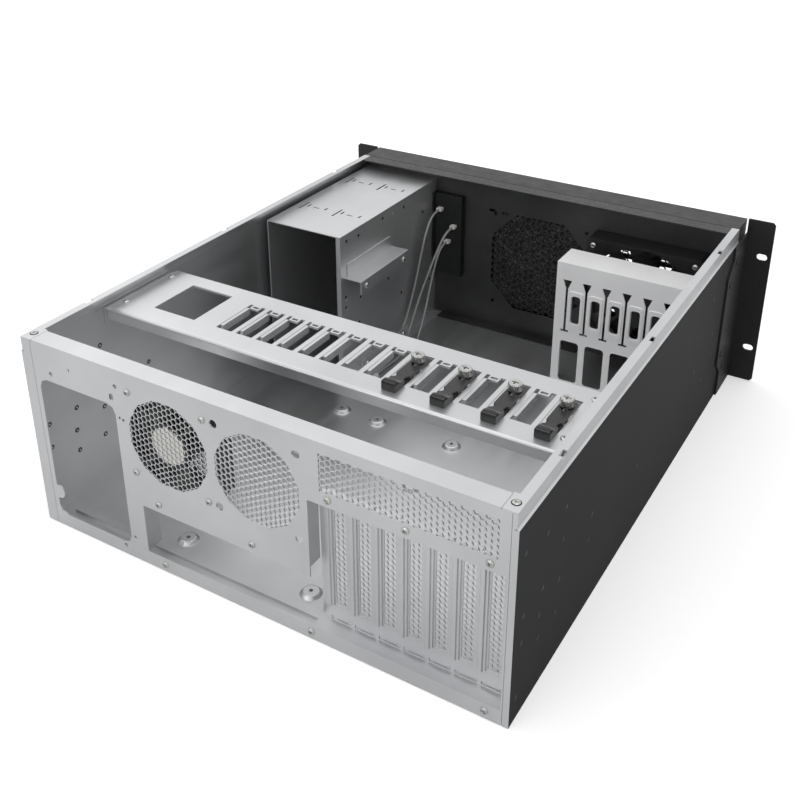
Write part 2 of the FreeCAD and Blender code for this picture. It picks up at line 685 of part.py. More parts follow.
def slot_cover(number):
    """Vented blank of one card slot: strip, bent tab over the shelf and narrow tongue."""
    x_mid = f"slot_x - slot_pitch * {number - 1}"
    plane = "recess + gauge"
    middle, half = evaluate(x_mid), size("cover_w") / 2
    low, high = size("cover_low"), size("shelf_z") + size("cover_t")
    across, pitch = size("slot_w") - size("cell_rib"), (size("shelf_z") - size("slot_low")) / COVER_CELLS
    wires = [level(middle - half, middle + half, low, high)]
    for i in range(COVER_CELLS):
        z_mid = size("slot_low") + (i + 0.5) * pitch
        wires.append(polygon([(middle + x, z_mid + z) for x, z in regular(6, across / 2)]))
    strip = sheet_xz(f"cover_strip_{number}", wires, evaluate(plane), "cover_t")
    tab = box(f"cover_tab_{number}", ("cover_w", "cover_tab", "cover_t"),
              (f"{x_mid} - cover_w / 2", back(plane), "shelf_z"))
    tongue = box(f"cover_tongue_{number}", ("cover_tongue_w", "cover_t", "tongue_drop"),
                 (f"{x_mid} - cover_tongue_w / 2", back(f"{plane} + cover_t"), "cover_low - tongue_drop"))
    label = f"slot_cover_{number}"
    return node(fuse(label, [strip, tab, tongue]), label)


# ---------------------------------------------------------------- crossbar and card retainers
def clip_middle(number):
    """The X of the middle of one clip slot of the crossbar, as an expression."""
    return f"clip_x - slot_pitch * {number}"


def crossbar():
    """Flanged bar across the case, with a window and a row of lipped and looped clip slots."""
    bend = size("bar_bend")
    section = [
        (back("bar_back"), "bar_top"), (back("bar_back + bar_len"), "bar_top"),
        (back("bar_back + bar_len"), "bar_top - bar_flange"),
        (back("bar_back + bar_len - bar_t"), "bar_top - bar_flange"),
        (back("bar_back + bar_len - bar_t"), "bar_top - bar_t"),
        (back("bar_back + bar_t"), "bar_top - bar_t"),
        (back("bar_back + bar_t"), "bar_top - bar_flange"),
        (back("bar_back"), "bar_top - bar_flange"),
    ]
    body = profile("bar_body", "yz", section, "2 * bar_half", "-bar_half")
    doc.recompute()
    pad = body.Tip
    rims = [f"Edge{i}" for i, edge in enumerate(pad.Shape.Edges, start=1)
            if abs(edge.CenterOfMass.z - size("bar_top")) < 0.01 and edge.Length > size("bar_half")]
    rounding = body.newObject("PartDesign::Fillet", "bar_bends")
    rounding.Base = (pad, rims)
    rounding.setExpression("Radius", bound("bar_bend"))
    body.Tip = rounding
    slots = [box("hatch", ("hatch_w", "hatch_len", "3 * bar_t"),
                 ("hatch_x - hatch_w / 2", back("hatch_back + hatch_len"), "bar_top - 2 * bar_t"))]
    additions, eyes = [], []
    for i in range(CLIPS):
        middle = clip_middle(i)
        slots.append(box(f"clip_slot_{i}", ("clip_w", "clip_len", "3 * bar_t"),
                         (f"{middle} - clip_w / 2", back("clip_back + clip_len"), "bar_top - 2 * bar_t")))
        inner = f"{middle} + clip_w / 2 - lip_w"
        additions.append(box(f"clip_lip_{i}", ("lip_w", "lip_len", "lip_h"),
                             (inner, back("clip_back + (clip_len + lip_len) / 2"),
                              "bar_top - bar_t / 4 - lip_h")))
        if i not in RETAINED:
            additions.append(box(f"loop_side_{i}", ("loop_w", "loop_len", "bar_t"),
                                 (f"{inner} - loop_w", back("clip_back + clip_len"), "bar_top - bar_t")))
            eyes.append(box(f"loop_eye_{i}",
                            ("loop_w - 2 * loop_edge", "loop_len - 2 * loop_edge", "3 * bar_t"),
                            (f"{inner} - loop_w + loop_edge", back("clip_back + clip_len - loop_edge"),
                             "bar_top - 2 * bar_t")))
    slotted = cut("bar_slotted", body, slots)
    lipped = fuse("bar_lipped", [slotted] + additions)
    screws = [hole(f"bar_hole_{i}", "screw_core_r", "4 * bar_t", (x, back(d), "bar_top - 2 * bar_t"))
              for i, (x, d) in enumerate(bar_screw_spots())]
    return node(cut("crossbar", lipped, eyes + screws), "crossbar")


def bar_screw_spots():
    """The two screws at each end of the crossbar."""
    ends = ("bar_half - 5", "5 - bar_half")
    rows = ("bar_back + 18", "bar_back + bar_len - 14")
    return [(x, d) for x in ends for d in rows]


def bar_angle(side, sign):
    """Angle on the side wall that carries one end of the crossbar."""
    inner = "body_w / 2 - gauge"
    low = f"{inner} - gauge" if sign > 0 else f"-({inner})"
    upright = box(f"angle_up_{side}", ("gauge", "angle_len", "angle_h"),
                  (low, back("bar_back + (bar_len + angle_len) / 2"), "bar_top - bar_t - angle_h"))
    low = f"{inner} - angle_w" if sign > 0 else f"-({inner})"
    flat = box(f"angle_flat_{side}", ("angle_w", "angle_len", "gauge"),
               (low, back("bar_back + (bar_len + angle_len) / 2"), "bar_top - bar_t - gauge"))
    holes = [hole(f"angle_hole_{side}_{i}", "screw_core_r", "4 * gauge",
                  (x, back(d), "bar_top - bar_t - 2 * gauge"))
             for i, (x, d) in enumerate(bar_screw_spots()) if x.startswith("bar") == (sign > 0)]
    label = f"bar_angle_{side}"
    return node(cut(label, fuse(f"{label}_solid", [upright, flat]), holes), label)


def hold_middle(clip):
    """The X of a retainer, which stands beside the lip of its slot."""
    return f"{clip_middle(clip)} - lip_w / 2"


def retainer(number, clip):
    """Plastic card retainer: slotted plate, raised heel and a stem that hangs through the bar."""
    x_mid = hold_middle(clip)
    floor = "bar_top + hold_gap"
    plate = box(f"hold_plate_{number}", ("hold_w", "hold_len", "hold_t"),
                (f"{x_mid} - hold_w / 2", back("hold_back + hold_len"), floor))
    block = box(f"hold_block_{number}", ("hold_w", "heel_len", "heel_h"),
                (f"{x_mid} - hold_w / 2", back("hold_back + heel_len"), floor))
    doc.recompute()
    heel = doc.addObject("Part::Fillet", f"hold_heel_{number}")
    heel.Base = block
    top = size("bar_top") + size("hold_gap") + size("heel_h")
    heel.Edges = [(i, size("heel_r"), size("heel_r")) for i, edge in enumerate(block.Shape.Edges, start=1)
                  if abs(edge.CenterOfMass.z - top) < 0.01]
    stem = box(f"hold_stem_{number}", ("stem_w", "stem_len", "stem_h"),
               (f"{x_mid} - stem_w / 2", back("clip_back + hold_travel + 2 * hold_gap + stem_len"),
                f"{floor} - stem_h"))
    reach = "thumb_shank_r + hold_gap"
    track = box(f"hold_track_{number}", (f"2 * ({reach})", "2 * hold_travel", "4 * hold_t"),
                (f"{x_mid} - ({reach})", back("thumb_back + hold_travel"), f"{floor} - hold_t"))
    ends = [prism(f"hold_end_{number}_{i}", 2 * HOLE_SIDES, reach, "4 * hold_t",
                  (x_mid, back(f"thumb_back + ({shift})"), f"{floor} - hold_t"))
            for i, shift in enumerate(("hold_travel", "-hold_travel"))]
    label = f"retainer_{number}"
    return node(cut(label, fuse(f"{label}_solid", [plate, heel, stem]), [track] + ends), label)


def thumb_screw(number, clip):
    """Knurled thumb screw with a crossed drive, and the shank that reaches the clamp nut."""
    x_mid = hold_middle(clip)
    seat_z = "bar_top + 2 * hold_gap + hold_t"
    head = prism(f"thumb_head_{number}", HUB_SIDES, "thumb_r", "thumb_h", (x_mid, back("thumb_back"), seat_z))
    shank = rod(f"thumb_shank_{number}", "thumb_shank_r", "thumb_shank",
                (x_mid, back("thumb_back"), f"{seat_z} - thumb_shank"))
    arms = [box(f"thumb_arm_{number}_{axis}", (lx, ly, "thumb_h"),
                (f"{x_mid} - {lx} / 2", back(f"thumb_back + {ly} / 2"), f"{seat_z} + thumb_h / 2"))
            for axis, lx, ly in (("x", "thumb_r", "(thumb_r / 5)"), ("y", "(thumb_r / 5)", "thumb_r"))]
    label = f"thumb_screw_{number}"
    return node(cut(label, fuse(f"{label}_solid", [head, shank]), arms), label)


def clamp_nut(number, clip):
    """Square nut under the clip slot that the thumb screw pulls against the bar."""
    x_mid = hold_middle(clip)
    plate = box(f"nut_plate_{number}", ("clip_w + nut_w / 2", "nut_w", "nut_h"),
                (f"{clip_middle(clip)} - (clip_w + nut_w / 2) / 2", back("thumb_back + nut_w / 2"),
                 "bar_top - bar_t / 4 - lip_h - nut_h"))
    bore = prism(f"nut_bore_{number}", 2 * HOLE_SIDES, "thumb_shank_r + hold_gap", "3 * nut_h",
                 (x_mid, back("thumb_back"), "bar_top - bar_t / 4 - lip_h - 2 * nut_h"))
    return cut(f"clamp_nut_{number}", plate, [bore])


# ---------------------------------------------------------------- drive cage and disk shelves
def drive_cage():
    """Open-backed cage for two upright drives: folded top, sides and feet, with lanced slots."""
    floor = "gauge"
    inner = "cage_right + cage_t"
    outer = "cage_right + cage_w"
    section = [
        ("cage_right - cage_foot", floor), ("cage_right - cage_foot", f"{floor} + cage_t"),
        ("cage_right", f"{floor} + cage_t"), ("cage_right", "cage_top"), (outer, "cage_top"),
        (outer, f"{floor}"), (f"{outer} - cage_foot", floor), (f"{outer} - cage_foot", f"{floor} + cage_t"),
        (f"{outer} - cage_t", f"{floor} + cage_t"), (f"{outer} - cage_t", "cage_top - cage_t"),
        (inner, "cage_top - cage_t"), (inner, floor),
    ]
    fold = profile("cage_fold", "xz", section, "cage_len", back("cage_back"))
    edge = box("cage_edge_fold", ("cage_edge", "cage_t", "cage_top - gauge"),
               ("cage_right", back("cage_back + cage_t"), floor))
    tools = []
    for bay, shift in enumerate((0, 1)):
        for row in ("lance_a", "lance_b"):
            tag = f"{row}_{bay}"
            x_mid = f"cage_right + cage_w / 2 + bay_pitch * {0.5 - shift}"
            for part, width, length, dx, dy in (
                ("long", "lance_w", "20", "15", "0"), ("near", "lance_w", "7", "10", "2"),
                ("cross", "7", "lance_w", "0", "0"), ("far", "lance_w", "6", "-11", "2"),
            ):
                tools.append(box(f"{part}_{tag}", (width, length, "3 * cage_t"),
                                 (f"{x_mid} + {dx} - {width} / 2", back(f"{row} + {dy} + {length} / 2"),
                                  "cage_top - 2 * cage_t")))
    for i, (d, z) in enumerate(((10, 8), (33, 10), (84, 11), (98, 9), (121, 11),
                                (9, 71), (9, 82), (31, 107), (82, 107), (118, 107), (95, 83))):
        tools.append(hole(f"cage_hole_{i}", "screw_core_r", "3 * cage_t",
                          ("cage_right - cage_t", back(f"cage_back + {d}"), f"cage_top - {z}"), "x"))
    return node(cut("drive_cage", fuse("cage_solid", [fold, edge]), tools), "drive_cage")


def disk_shelf(name, height, way):
    """Angle on the cage's side: shelf, a root fixed to the cage, and a flange with disk screw holes."""
    outer = "cage_right - shelf_w"
    shelf = box(f"{name}_flat", ("shelf_w", "shelf_len", "cage_t"),
                (outer, back("shelf_back + shelf_len"), f"{height} - cage_t"))
    root = box(f"{name}_root", ("cage_t", "shelf_len - cage_edge * 2", "shelf_lip"),
               ("cage_right - cage_t", back("shelf_back + shelf_len - cage_edge"),
                f"{height} - cage_t" if way < 0 else f"{height} - shelf_lip"))
    lip_low = f"{height} - shelf_lip" if way < 0 else f"{height} - cage_t"
    lip = box(f"{name}_lip", ("cage_t", "shelf_len", "shelf_lip"),
              (outer, back("shelf_back + shelf_len"), lip_low))
    holes = [hole(f"{name}_hole_{i}", "screw_core_r", "3 * cage_t",
                  (f"{outer} - cage_t", back(f"shelf_back + {d}"), f"{lip_low} + shelf_lip / 2"), "x")
             for i, d in enumerate(("shelf_screw", "shelf_len - shelf_screw"))]
    return node(cut(name, fuse(f"{name}_solid", [shelf, root, lip]), holes), name)


# ---------------------------------------------------------------- card guide
def guide_slot(x_mid):
    """One guide slot: a narrow throat with a lead-in above it and a cross foot below it."""
    half, wide = size("guide_slot_w") / 2, size("funnel_w") / 2
    low, high, rise = size("guide_slot_low"), size("guide_slot_top"), size("funnel_h")
    foot = wide * 0.9
    return polygon([
        (x_mid - half, low), (x_mid - half, high), (x_mid - wide, high + rise), (x_mid + wide, high + rise),
        (x_mid + half, high), (x_mid + half, low), (x_mid + foot, low), (x_mid + foot, low - half * 2),
        (x_mid - foot, low - half * 2), (x_mid - foot, low),
    ])


def card_guide():
    """Upright plate with guide slots, spring fingers and windows, flanged at the top, side and foot."""
    left, width = size("guide_left"), size("guide_w")
    floor, high = size("gauge"), size("guide_h")
    pitch = size("slot_pitch")
    wires = [level(left - width, left, floor, high)]
    for i in range(SLOTS):
        x_slot = size("slot_x") - pitch * i
        wires.append(guide_slot(x_slot))
        if i < SLOTS - 1:
            wires.append(rounded(x_slot - pitch / 2, size("ring_low"), size("ring_top"), size("ring_w"), 2.5))
    for i in range(WINDOWS):
        x_window = left - size("window_w") / 2 - size("guide_foot") - size("window_pitch") * i
        wires.append(rounded(x_window, size("window_low"), size("window_top"), size("window_w"), 3))
    plate = sheet_xz("guide_plate", wires, size("guide_back"), "cage_t")
    right = "guide_left - guide_w"
    top = box("guide_top_fold", ("guide_w", "guide_top", "cage_t"),
              (right, back("guide_back + guide_top"), "guide_h - cage_t"))
    side = box("guide_side_fold", ("cage_t", "guide_side", "guide_h - gauge"),
               ("guide_left - cage_t", back("guide_back + guide_side"), "gauge"))
    foot = box("guide_foot_fold", ("guide_w", "guide_foot", "cage_t"),
               (right, back("guide_back"), "gauge"))
    return node(fuse("card_guide", [plate, top, side, foot]), "card_guide")


# ---------------------------------------------------------------- front wall and bezel
def front_wall():
    """Inner front sheet: drive bay opening, two fan openings and folded edges."""
    half = size("body_w") / 2 - size("gauge")
    low, top = size("gauge"), size("body_h") - size("gauge")
    rail = half - size("rail_in") - size("gauge")
    rail_z = size("body_h") - size("rail_h")
    wires = [
        polygon([(-half, low), (half, low), (half, rail_z), (rail, rail_z), (rail, top), (-rail, top),
                 (-rail, rail_z), (-half, rail_z)]),
        bay_outline(),
    ]
    control, rise = size("control_x"), size("clear_z")
    wires.append(rounded(control, rise - size("clear_h") / 2, rise + size("clear_h") / 2, size("clear_w"), 2))
    for x_mid in (size("front_fan_x"), size("vent_x")):
        wires += fan_holes(x_mid, size("front_fan_z"), size("big_fan_screw"), size("fan_hole_r"), small_hole)
        wires += cells(x_mid, size("front_fan_z"), size("front_cell"), size("vent_r"), size("vent_r"))
    wall = sheet_xz("wall_sheet", wires, size("wall_back"), "gauge")
    lip = "rail_in + rail_lip + seam"
    top_fold = box("wall_top_fold", (f"body_w - 2 * ({lip})", "wall_flange + gauge", "gauge"),
                   (f"{lip} - body_w / 2", back("wall_back + gauge"), "body_h - gauge"))
    foot_fold = box("wall_foot_fold", ("cage_right - cage_foot - guide_left - seam", "wall_foot", "gauge"),
                    ("guide_left", back("wall_back"), "gauge"))
    return node(fuse("front_wall", [wall, top_fold, foot_fold]), "front_wall")


def bay_outline():
    """The opening in front of the two upright drive bays."""
    low, high = size("bay_low"), size("bay_high")
    left = size("cage_right") + size("bay_gap")
    right = size("cage_right") + size("cage_w") - size("bay_gap")
    return level(right, left, low, high)


def bezel():
    """Moulded front: a hollow shell with bay, vent and control openings."""
    half, top = size("bezel_half"), size("body_h")
    wires = [level(-half, half, 0, top), bay_outline()]
    for height, radius in (("button_z", "button_r"), ("reset_z", "reset_r")):
        outline = regular(2 * HUB_SIDES, size(radius) + size("button_gap"))
        wires.append(polygon([(size("control_x") + x, size(height) + z) for x, z in outline]))
    wires += [small_hole(size("control_x"), size("lamp_z") - size("lamp_pitch") * i, size("lamp_r"))
              for i in (0, 1)]
    usb_w, usb_h = size("usb_w"), size("usb_h")
    for i in (0, 1):
        x_mid, z_mid = size("control_x") + size("usb_pitch") * (0.5 - i), size("usb_z")
        wires.append(level(x_mid - usb_w / 2, x_mid + usb_w / 2, z_mid - usb_h / 2, z_mid + usb_h / 2))
    left, right = size("vent_x") + size("vent_r"), size("front_fan_x") - size("vent_r")
    rows = int(2 * size("vent_r") // size("vent_slot_pitch"))
    x_split = (size("front_fan_x") + size("vent_x")) / 2
    rise = size("vent_slot_h") / 2
    for row in range(rows):
        z_mid = size("front_fan_z") + (row - (rows - 1) / 2) * size("vent_slot_pitch")
        for x_low, x_high in ((right, x_split - size("vent_bar")), (x_split + size("vent_bar"), left)):
            wires.append(level(x_low, x_high, z_mid - rise, z_mid + rise))
    front = "depth + bezel_out"
    face = sheet_xz("bezel_face", wires, size("depth") + size("bezel_out") - size("bezel_t"), "bezel_t")
    inner = "wall_back + gauge + bezel_gap"
    length, behind = f"{front} - bezel_t - ({inner})", back(f"{front} - bezel_t")
    rims = [
        box("bezel_roof", ("2 * bezel_half", length, "bezel_t"), ("-bezel_half", behind, "body_h - bezel_t")),
        box("bezel_floor", ("2 * bezel_half", length, "bezel_t"), ("-bezel_half", behind, "0")),
        box("bezel_side_a", ("bezel_t", length, "body_h"), ("bezel_half - bezel_t", behind, "0")),
        box("bezel_side_b", ("bezel_t", length, "body_h"), ("-bezel_half", behind, "0")),
    ]
    return node(fuse("bezel", [face] + rims), "bezel")


def bay_cover(number):
    """Removable blank of one upright drive bay, with a grip groove along one edge."""
    middle = "cage_right + cage_w / 2"
    width = "cage_w / 2 - bay_gap - seam"
    x_low = f"{middle} + seam / 2" if number == 1 else f"{middle} - seam / 2 - ({width})"
    height = "bay_high - bay_low - 2 * seam"
    front = "depth + bezel_out"
    plate = box(f"blank_{number}", (width, "2 * bezel_t", height), (x_low, back(front), "bay_low + seam"))
    tail = box(f"blank_tail_{number}", ("gauge", "blank_tail", "blank_tail_h"),
               (f"{x_low} + ({width}) / 2", back(f"{front} - 2 * bezel_t"),
                "(bay_high + bay_low - blank_tail_h) / 2"))
    groove = box(f"blank_groove_{number}", (width, "bezel_t", "grip"),
                 (x_low, back(front), "bay_high - 5 * grip"))
    label = f"bay_cover_{number}"
    return node(cut(label, fuse(f"{label}_solid", [plate, tail]), [groove]), label)


def ear_screw_spots():
    """Places of the screws that hold an ear on the side wall: distance from the rear, and height."""
    near = size("depth") - size("ear_side") + 1.6 * size("ear_step")
    far = size("depth") - size("ear_side") + 0.6 * size("ear_step")
    middle, wide, close = size("body_h") / 2, size("ear_screw_wide"), size("ear_screw_close")
    return [(near, middle - wide), (near, middle + wide), (far, middle - close), (far, middle + close)]


def rack_ear(side, sign):
    """Rack ear: front plate with two slots and a stepped flange along the side wall."""
    wall = size("body_w") / 2
    reach, high = size("ear_half"), size("ear_h")
    thick = size("ear_t")
    plate = Part.Face(level(sign * wall, sign * reach, 0, high))
    plate = plate.extrude(Vector(0, thick, 0))
    corners = [e for e in plate.Edges if abs(e.CenterOfMass.x - sign * reach) < 0.01
               and abs(e.tangentAt(e.FirstParameter).y) > 0.5]
    plate = plate.makeChamfer(size("ear_corner") / 2, corners)
    for step in (-1, 1):
        z_mid = high / 2 + step * size("ear_slot_z") / 2
        slot = obround(sign * size("ear_slot_x"), z_mid, size("ear_slot_len"), size("ear_slot_w"))
        plate = plate.cut(Part.Face(slot).extrude(Vector(0, thick, 0)))
    length, step = size("ear_side"), size("ear_step")
    under_rail = size("body_h") - size("rail_h")
    outline = [(0, 0), (length - step, 0), (length - step, 2 * step), (length, 3 * step),
               (length, under_rail - 2 * step), (length - step, under_rail - step),
               (length - step, under_rail), (0, under_rail)]
    points = [Vector(sign * wall, y, z) for y, z in outline]
    flange = Part.Face(Part.makePolygon(points + points[:1])).extrude(Vector(sign * thick, 0, 0))
    shape = plate.fuse(flange).removeSplitter()
    shape.translate(Vector(0, -size("depth") / 2, 0))
    for distance, z in ear_screw_spots():
        drill = frustum(HOLE_SIDES, size("screw_hole_r"), size("screw_hole_r"), 4 * thick)
        way = Rotation(Vector(0, 0, 1), Vector(sign, 0, 0))
        drill.Placement = Placement(at(sign * (wall - thick), distance, z), way)
        shape = shape.cut(drill)
    return node(made(f"rack_ear_{side}", shape), f"rack_ear_{side}")


# ---------------------------------------------------------------- fans
def upright(sides, radius, near, far):
    """A block with a regular section round the Y axis, between two distances forwards."""
    block = frustum(sides, radius, radius, far - near)
    block.Placement = Placement(Vector(0, -near, 0), Rotation(Vector(1, 0, 0), 90))
    return block


def fan_frame(name, side, screw, x_mid, z_mid, y_rear):
    """Square fan frame: round duct, corner holes, and a motor seat on four struts at its rear."""
    thick = size("fan_t")
    duct = side / 2 - size("fan_wall")
    hub = size("fan_hub") * side
    wires = [rounded(0, -side / 2, side / 2, side, size("fan_corner")), circle(0, 0, duct)]
    wires += fan_holes(0, 0, screw, size("fan_hole_r"), small_hole)
    block = Part.makeFace(wires, "Part::FaceMakerBullseye").extrude(Vector(0, -thick, 0))
    motor = upright(HUB_SIDES, hub, 0, size("strut"))
    pin = Part.makeCylinder(size("pin_r"), thick * size("pin_share"), Vector(0, 0, 0), Vector(0, -1, 0))
    struts = []
    for turn in range(4):
        strut = Part.makeBox(duct + size("fan_wall") / 2, size("strut"), size("strut"),
                             Vector(0, -size("strut"), -size("strut") / 2))
        strut.rotate(Vector(0, 0, 0), Vector(0, 1, 0), 45 + 90 * turn)
        struts.append(strut)
    shape = block.fuse([motor, pin] + struts).removeSplitter()
    shape.translate(Vector(x_mid, y_rear, z_mid))
    return node(made(name, shape), name)


def fan_rotor(name, side, x_mid, z_mid, y_rear):
    """Fan rotor: a hub cup bored for the pin, with twisted blades."""
    thick, run = size("fan_t"), size("fan_run")
    hub = size("fan_hub") * side
    tip = side / 2 - size("fan_wall") - run
    start, end = size("strut") + run, thick - run
    cup = upright(HUB_SIDES, hub, start, end)
    bore = Part.makeCylinder(size("pin_r") + size("pin_gap"), thick * size("pin_share") + run,
                             Vector(0, 0, 0), Vector(0, -1, 0))
    sections = [blade_section(radius, pitch, hub, tip, (start + end) / 2, end - start)
                for radius, pitch in ((hub * 0.9, 50), ((hub + tip) / 2, 60), (tip, 68))]
    blade = polyhedron(blade_faces(sections))
    blades = []
    for number in range(FAN_BLADES):
        turned = blade.copy()
        turned.rotate(Vector(0, 0, 0), Vector(0, 1, 0), 360 * number / FAN_BLADES)
        blades.append(turned)
    shape = cup.fuse(blades).cut(bore).removeSplitter()
    shape.translate(Vector(x_mid, y_rear, z_mid))
    return node(made(name, shape), name)


def blade_section(radius, pitch, hub, tip, middle, depth):
    """The four corners of a blade's section at a radius, turned by a pitch and kept inside the tip circle."""
    slope = math.radians(pitch)
    half = min(0.21 * (radius + hub), 0.45 * depth / math.cos(slope))
    along = Vector(math.sin(slope), math.cos(slope), 0) * half
    across = Vector(math.cos(slope), -math.sin(slope), 0) * (size("fan_wall") * 0.4)
    height = min(radius, math.sqrt(tip ** 2 - along.x ** 2))
    centre = Vector(0, -middle, height)
    return [centre + along, centre + across, centre - along, centre - across]


def blade_faces(sections):
    """The root, the tip and the triangles between the sections of a twisted blade."""
    faces = [sections[0], sections[-1]]
    for low, high in zip(sections, sections[1:]):
        for i, j in ((0, 1), (1, 2), (0, 3), (3, 2)):
            faces.append([low[i], low[j], high[j]])
            faces.append([low[i], high[j], high[i]])
    return faces


# ---------------------------------------------------------------- front controls
def dust_filter():
    """Foam pad held between the front wall and the bezel, behind the free fan position."""
    side = "2 * (vent_r + 6)"
    corner = (f"vent_x - ({side}) / 2", back("wall_back + gauge + filter_t"), f"front_fan_z - ({side}) / 2")
    return node(box("dust_filter", (side, "filter_t", side), corner), "dust_filter")


def front_board():
    """Small upright circuit board with the two switches on its front."""
    plate = box("board_plate", ("pcb_w", "pcb_t", "pcb_h"),
                ("control_x - pcb_w / 2", back("wall_back - pcb_stand + pcb_t"), "pcb_z - pcb_h / 2"))
    blocks = [box(f"switch_{height}", ("switch_w", "switch_h", "switch_w"),
                  ("control_x - switch_w / 2", back("wall_back - pcb_stand + pcb_t + switch_h"),
                   f"{height} - switch_w / 2")) for height in ("button_z", "reset_z")]
    return node(fuse("front_board", [plate] + blocks), "front_board")


def board_bracket():
    """Channel on the front wall that carries the front board between its flanges."""
    left, right = "control_x + pcb_w / 2", "control_x - pcb_w / 2"
    front, web, rear = back("wall_back"), back("wall_back - cage_t"), back("wall_back - 1.5 * pcb_stand")
    section = [
        (f"{right} - cage_t", front), (f"{left} + cage_t", front), (f"{left} + cage_t", rear), (left, rear),
        (left, web), (right, web), (right, rear), (f"{right} - cage_t", rear),
    ]
    channel = profile("bracket_channel", "xy", section, "pcb_h", "pcb_z - pcb_h / 2")
    opening = box("bracket_opening", ("clear_w", "3 * cage_t", "clear_h"),
                  ("control_x - clear_w / 2", back("wall_back + cage_t"), "clear_z - clear_h / 2"))
    return node(cut("board_bracket", channel, [opening]), "board_bracket")


def button(name, radius, height):
    """Round push button: a cap that stands out of the bezel, a collar behind it and a stem to its switch."""
    front = "depth + bezel_out + button_proud"
    cap_len = "bezel_t + button_proud + hold_gap"
    switch = "wall_back - pcb_stand + pcb_t + switch_h + button_travel + hold_gap"
    cap = prism(f"{name}_cap", 2 * HUB_SIDES, radius, cap_len, ("control_x", back(front), height), "y")
    collar = prism(f"{name}_collar", HUB_SIDES, f"{radius} + 3 * button_gap", "bezel_t / 2",
                   ("control_x", back(f"{front} - ({cap_len})"), height), "y")
    stem = hole(f"{name}_stem", "stem_r", f"{front} - ({switch})", ("control_x", back(front), height), "y")
    return node(fuse(name, [cap, collar, stem]), name)


def indicator_lamps():
    """The two indicator lamps, whose lenses fill their holes in the bezel."""
    front = "depth + bezel_out"
    lamps = [hole(f"lamp_{i}", "lamp_r", "2 * bezel_t",
                  ("control_x", back(front), f"lamp_z - lamp_pitch * {i}"), "y") for i in (0, 1)]
    return node(group("indicator_lamps", lamps), "indicator_lamps")


def front_ports():
    """The two upright ports, each a metal shell with a tongue, set in the bezel."""
    front = "depth + bezel_out"
    shells = []
    for i in (0, 1):
        x_mid = f"control_x + usb_pitch * {0.5 - i}"
        shell = box(f"port_shell_{i}", ("usb_w", "12", "usb_h"),
                    (f"{x_mid} - usb_w / 2", back(front), "usb_z - usb_h / 2"))
        mouth = box(f"port_mouth_{i}", ("usb_w - 1", "10", "usb_h - 1"),
                    (f"{x_mid} - usb_w / 2 + 0.5", back(front), "usb_z - usb_h / 2 + 0.5"))
        tongue = box(f"port_tongue_{i}", ("1.6", "10", "usb_h - 3"),
                     (f"{x_mid} - 0.8", back(f"{front} - 1"), "usb_z - usb_h / 2 + 1.5"))
        shells.append(fuse(f"port_{i}", [cut(f"port_open_{i}", shell, [mouth]), tongue]))
    return node(group("front_ports", shells), "front_ports")


# ---------------------------------------------------------------- fasteners
def screw_at(point, outward, length):
    """A domed screw: its head stands on a face at a point, and its shank goes in."""
    radius, core = size("screw_r"), size("screw_core_r")
    shank = frustum(HOLE_SIDES, core, core, length)
    shank.translate(Vector(0, 0, -length))
    screw = shank.fuse(frustum(HOLE_SIDES, radius, radius * 0.6, size("screw_h"))).removeSplitter()
    screw.Placement = Placement(point, Rotation(Vector(0, 0, 1), outward))
    return screw


def screws(name, points, outward, length):
    """Separate screws that share one node."""
    return node(made(name, Part.makeCompound([screw_at(p, outward, length) for p in points])), name)


def at(x, distance, z):
    """A point given by X, its distance from the rear panel, and Z."""
    return Vector(x, size("depth") / 2 - distance, z)


def all_screws():
    """Every group of small screws."""
    out = Vector(0, 1, 0)
    short, long = size("sheet_screw"), size("fan_screw_len")
    screws("panel_screws", [at(x, 0, z) for x, z in rear_screw_spots()], out, short)
    screws("fan_screws", corners_of("fan_a_x", "fan_z", "fan_screw", 0), out, long)
    screws("bar_screws", [at(evaluate(x), evaluate(d), size("bar_top")) for x, d in bar_screw_spots()],
           Vector(0, 0, 1), short)
    fan_rear = size("wall_back") - size("fan_t")
    screws("front_fan_screws", corners_of("front_fan_x", "front_fan_z", "big_fan_screw", fan_rear), out, long)
    heights = (size("shelf_top") - size("shelf_lip") / 2,
               size("shelf_low") - size("cage_t") + size("shelf_lip") / 2)
    x_lip, inset = size("cage_right") - size("shelf_w"), size("shelf_screw")
    screws("shelf_screws", [at(x_lip, size("shelf_back") + d, z) for z in heights
                            for d in (inset, size("shelf_len") - inset)], Vector(-1, 0, 0), short)
    wall = size("body_w") / 2 + size("ear_t")
    for side, sign in (("a", 1), ("b", -1)):
        screws(f"ear_screws_{side}", [at(sign * wall, distance, z) for distance, z in ear_screw_spots()],
               Vector(sign, 0, 0), size("gauge") + size("ear_t"))


def corners_of(x_mid, z_mid, spacing, distance):
    """The four screw places of a fan."""
    reach = size(spacing) / 2
    return [at(size(x_mid) + sx * reach, distance, size(z_mid) + sz * reach)
            for sx in (-1, 1) for sz in (-1, 1)]


# ---------------------------------------------------------------- front leads
def lead_point(x, gap, z):
    """A point of a lead: X, its gap to the front wall, and its height beside the front board."""
    return at(x, size("wall_back") - gap, z * size("pcb_z") / LEAD_BOARD)


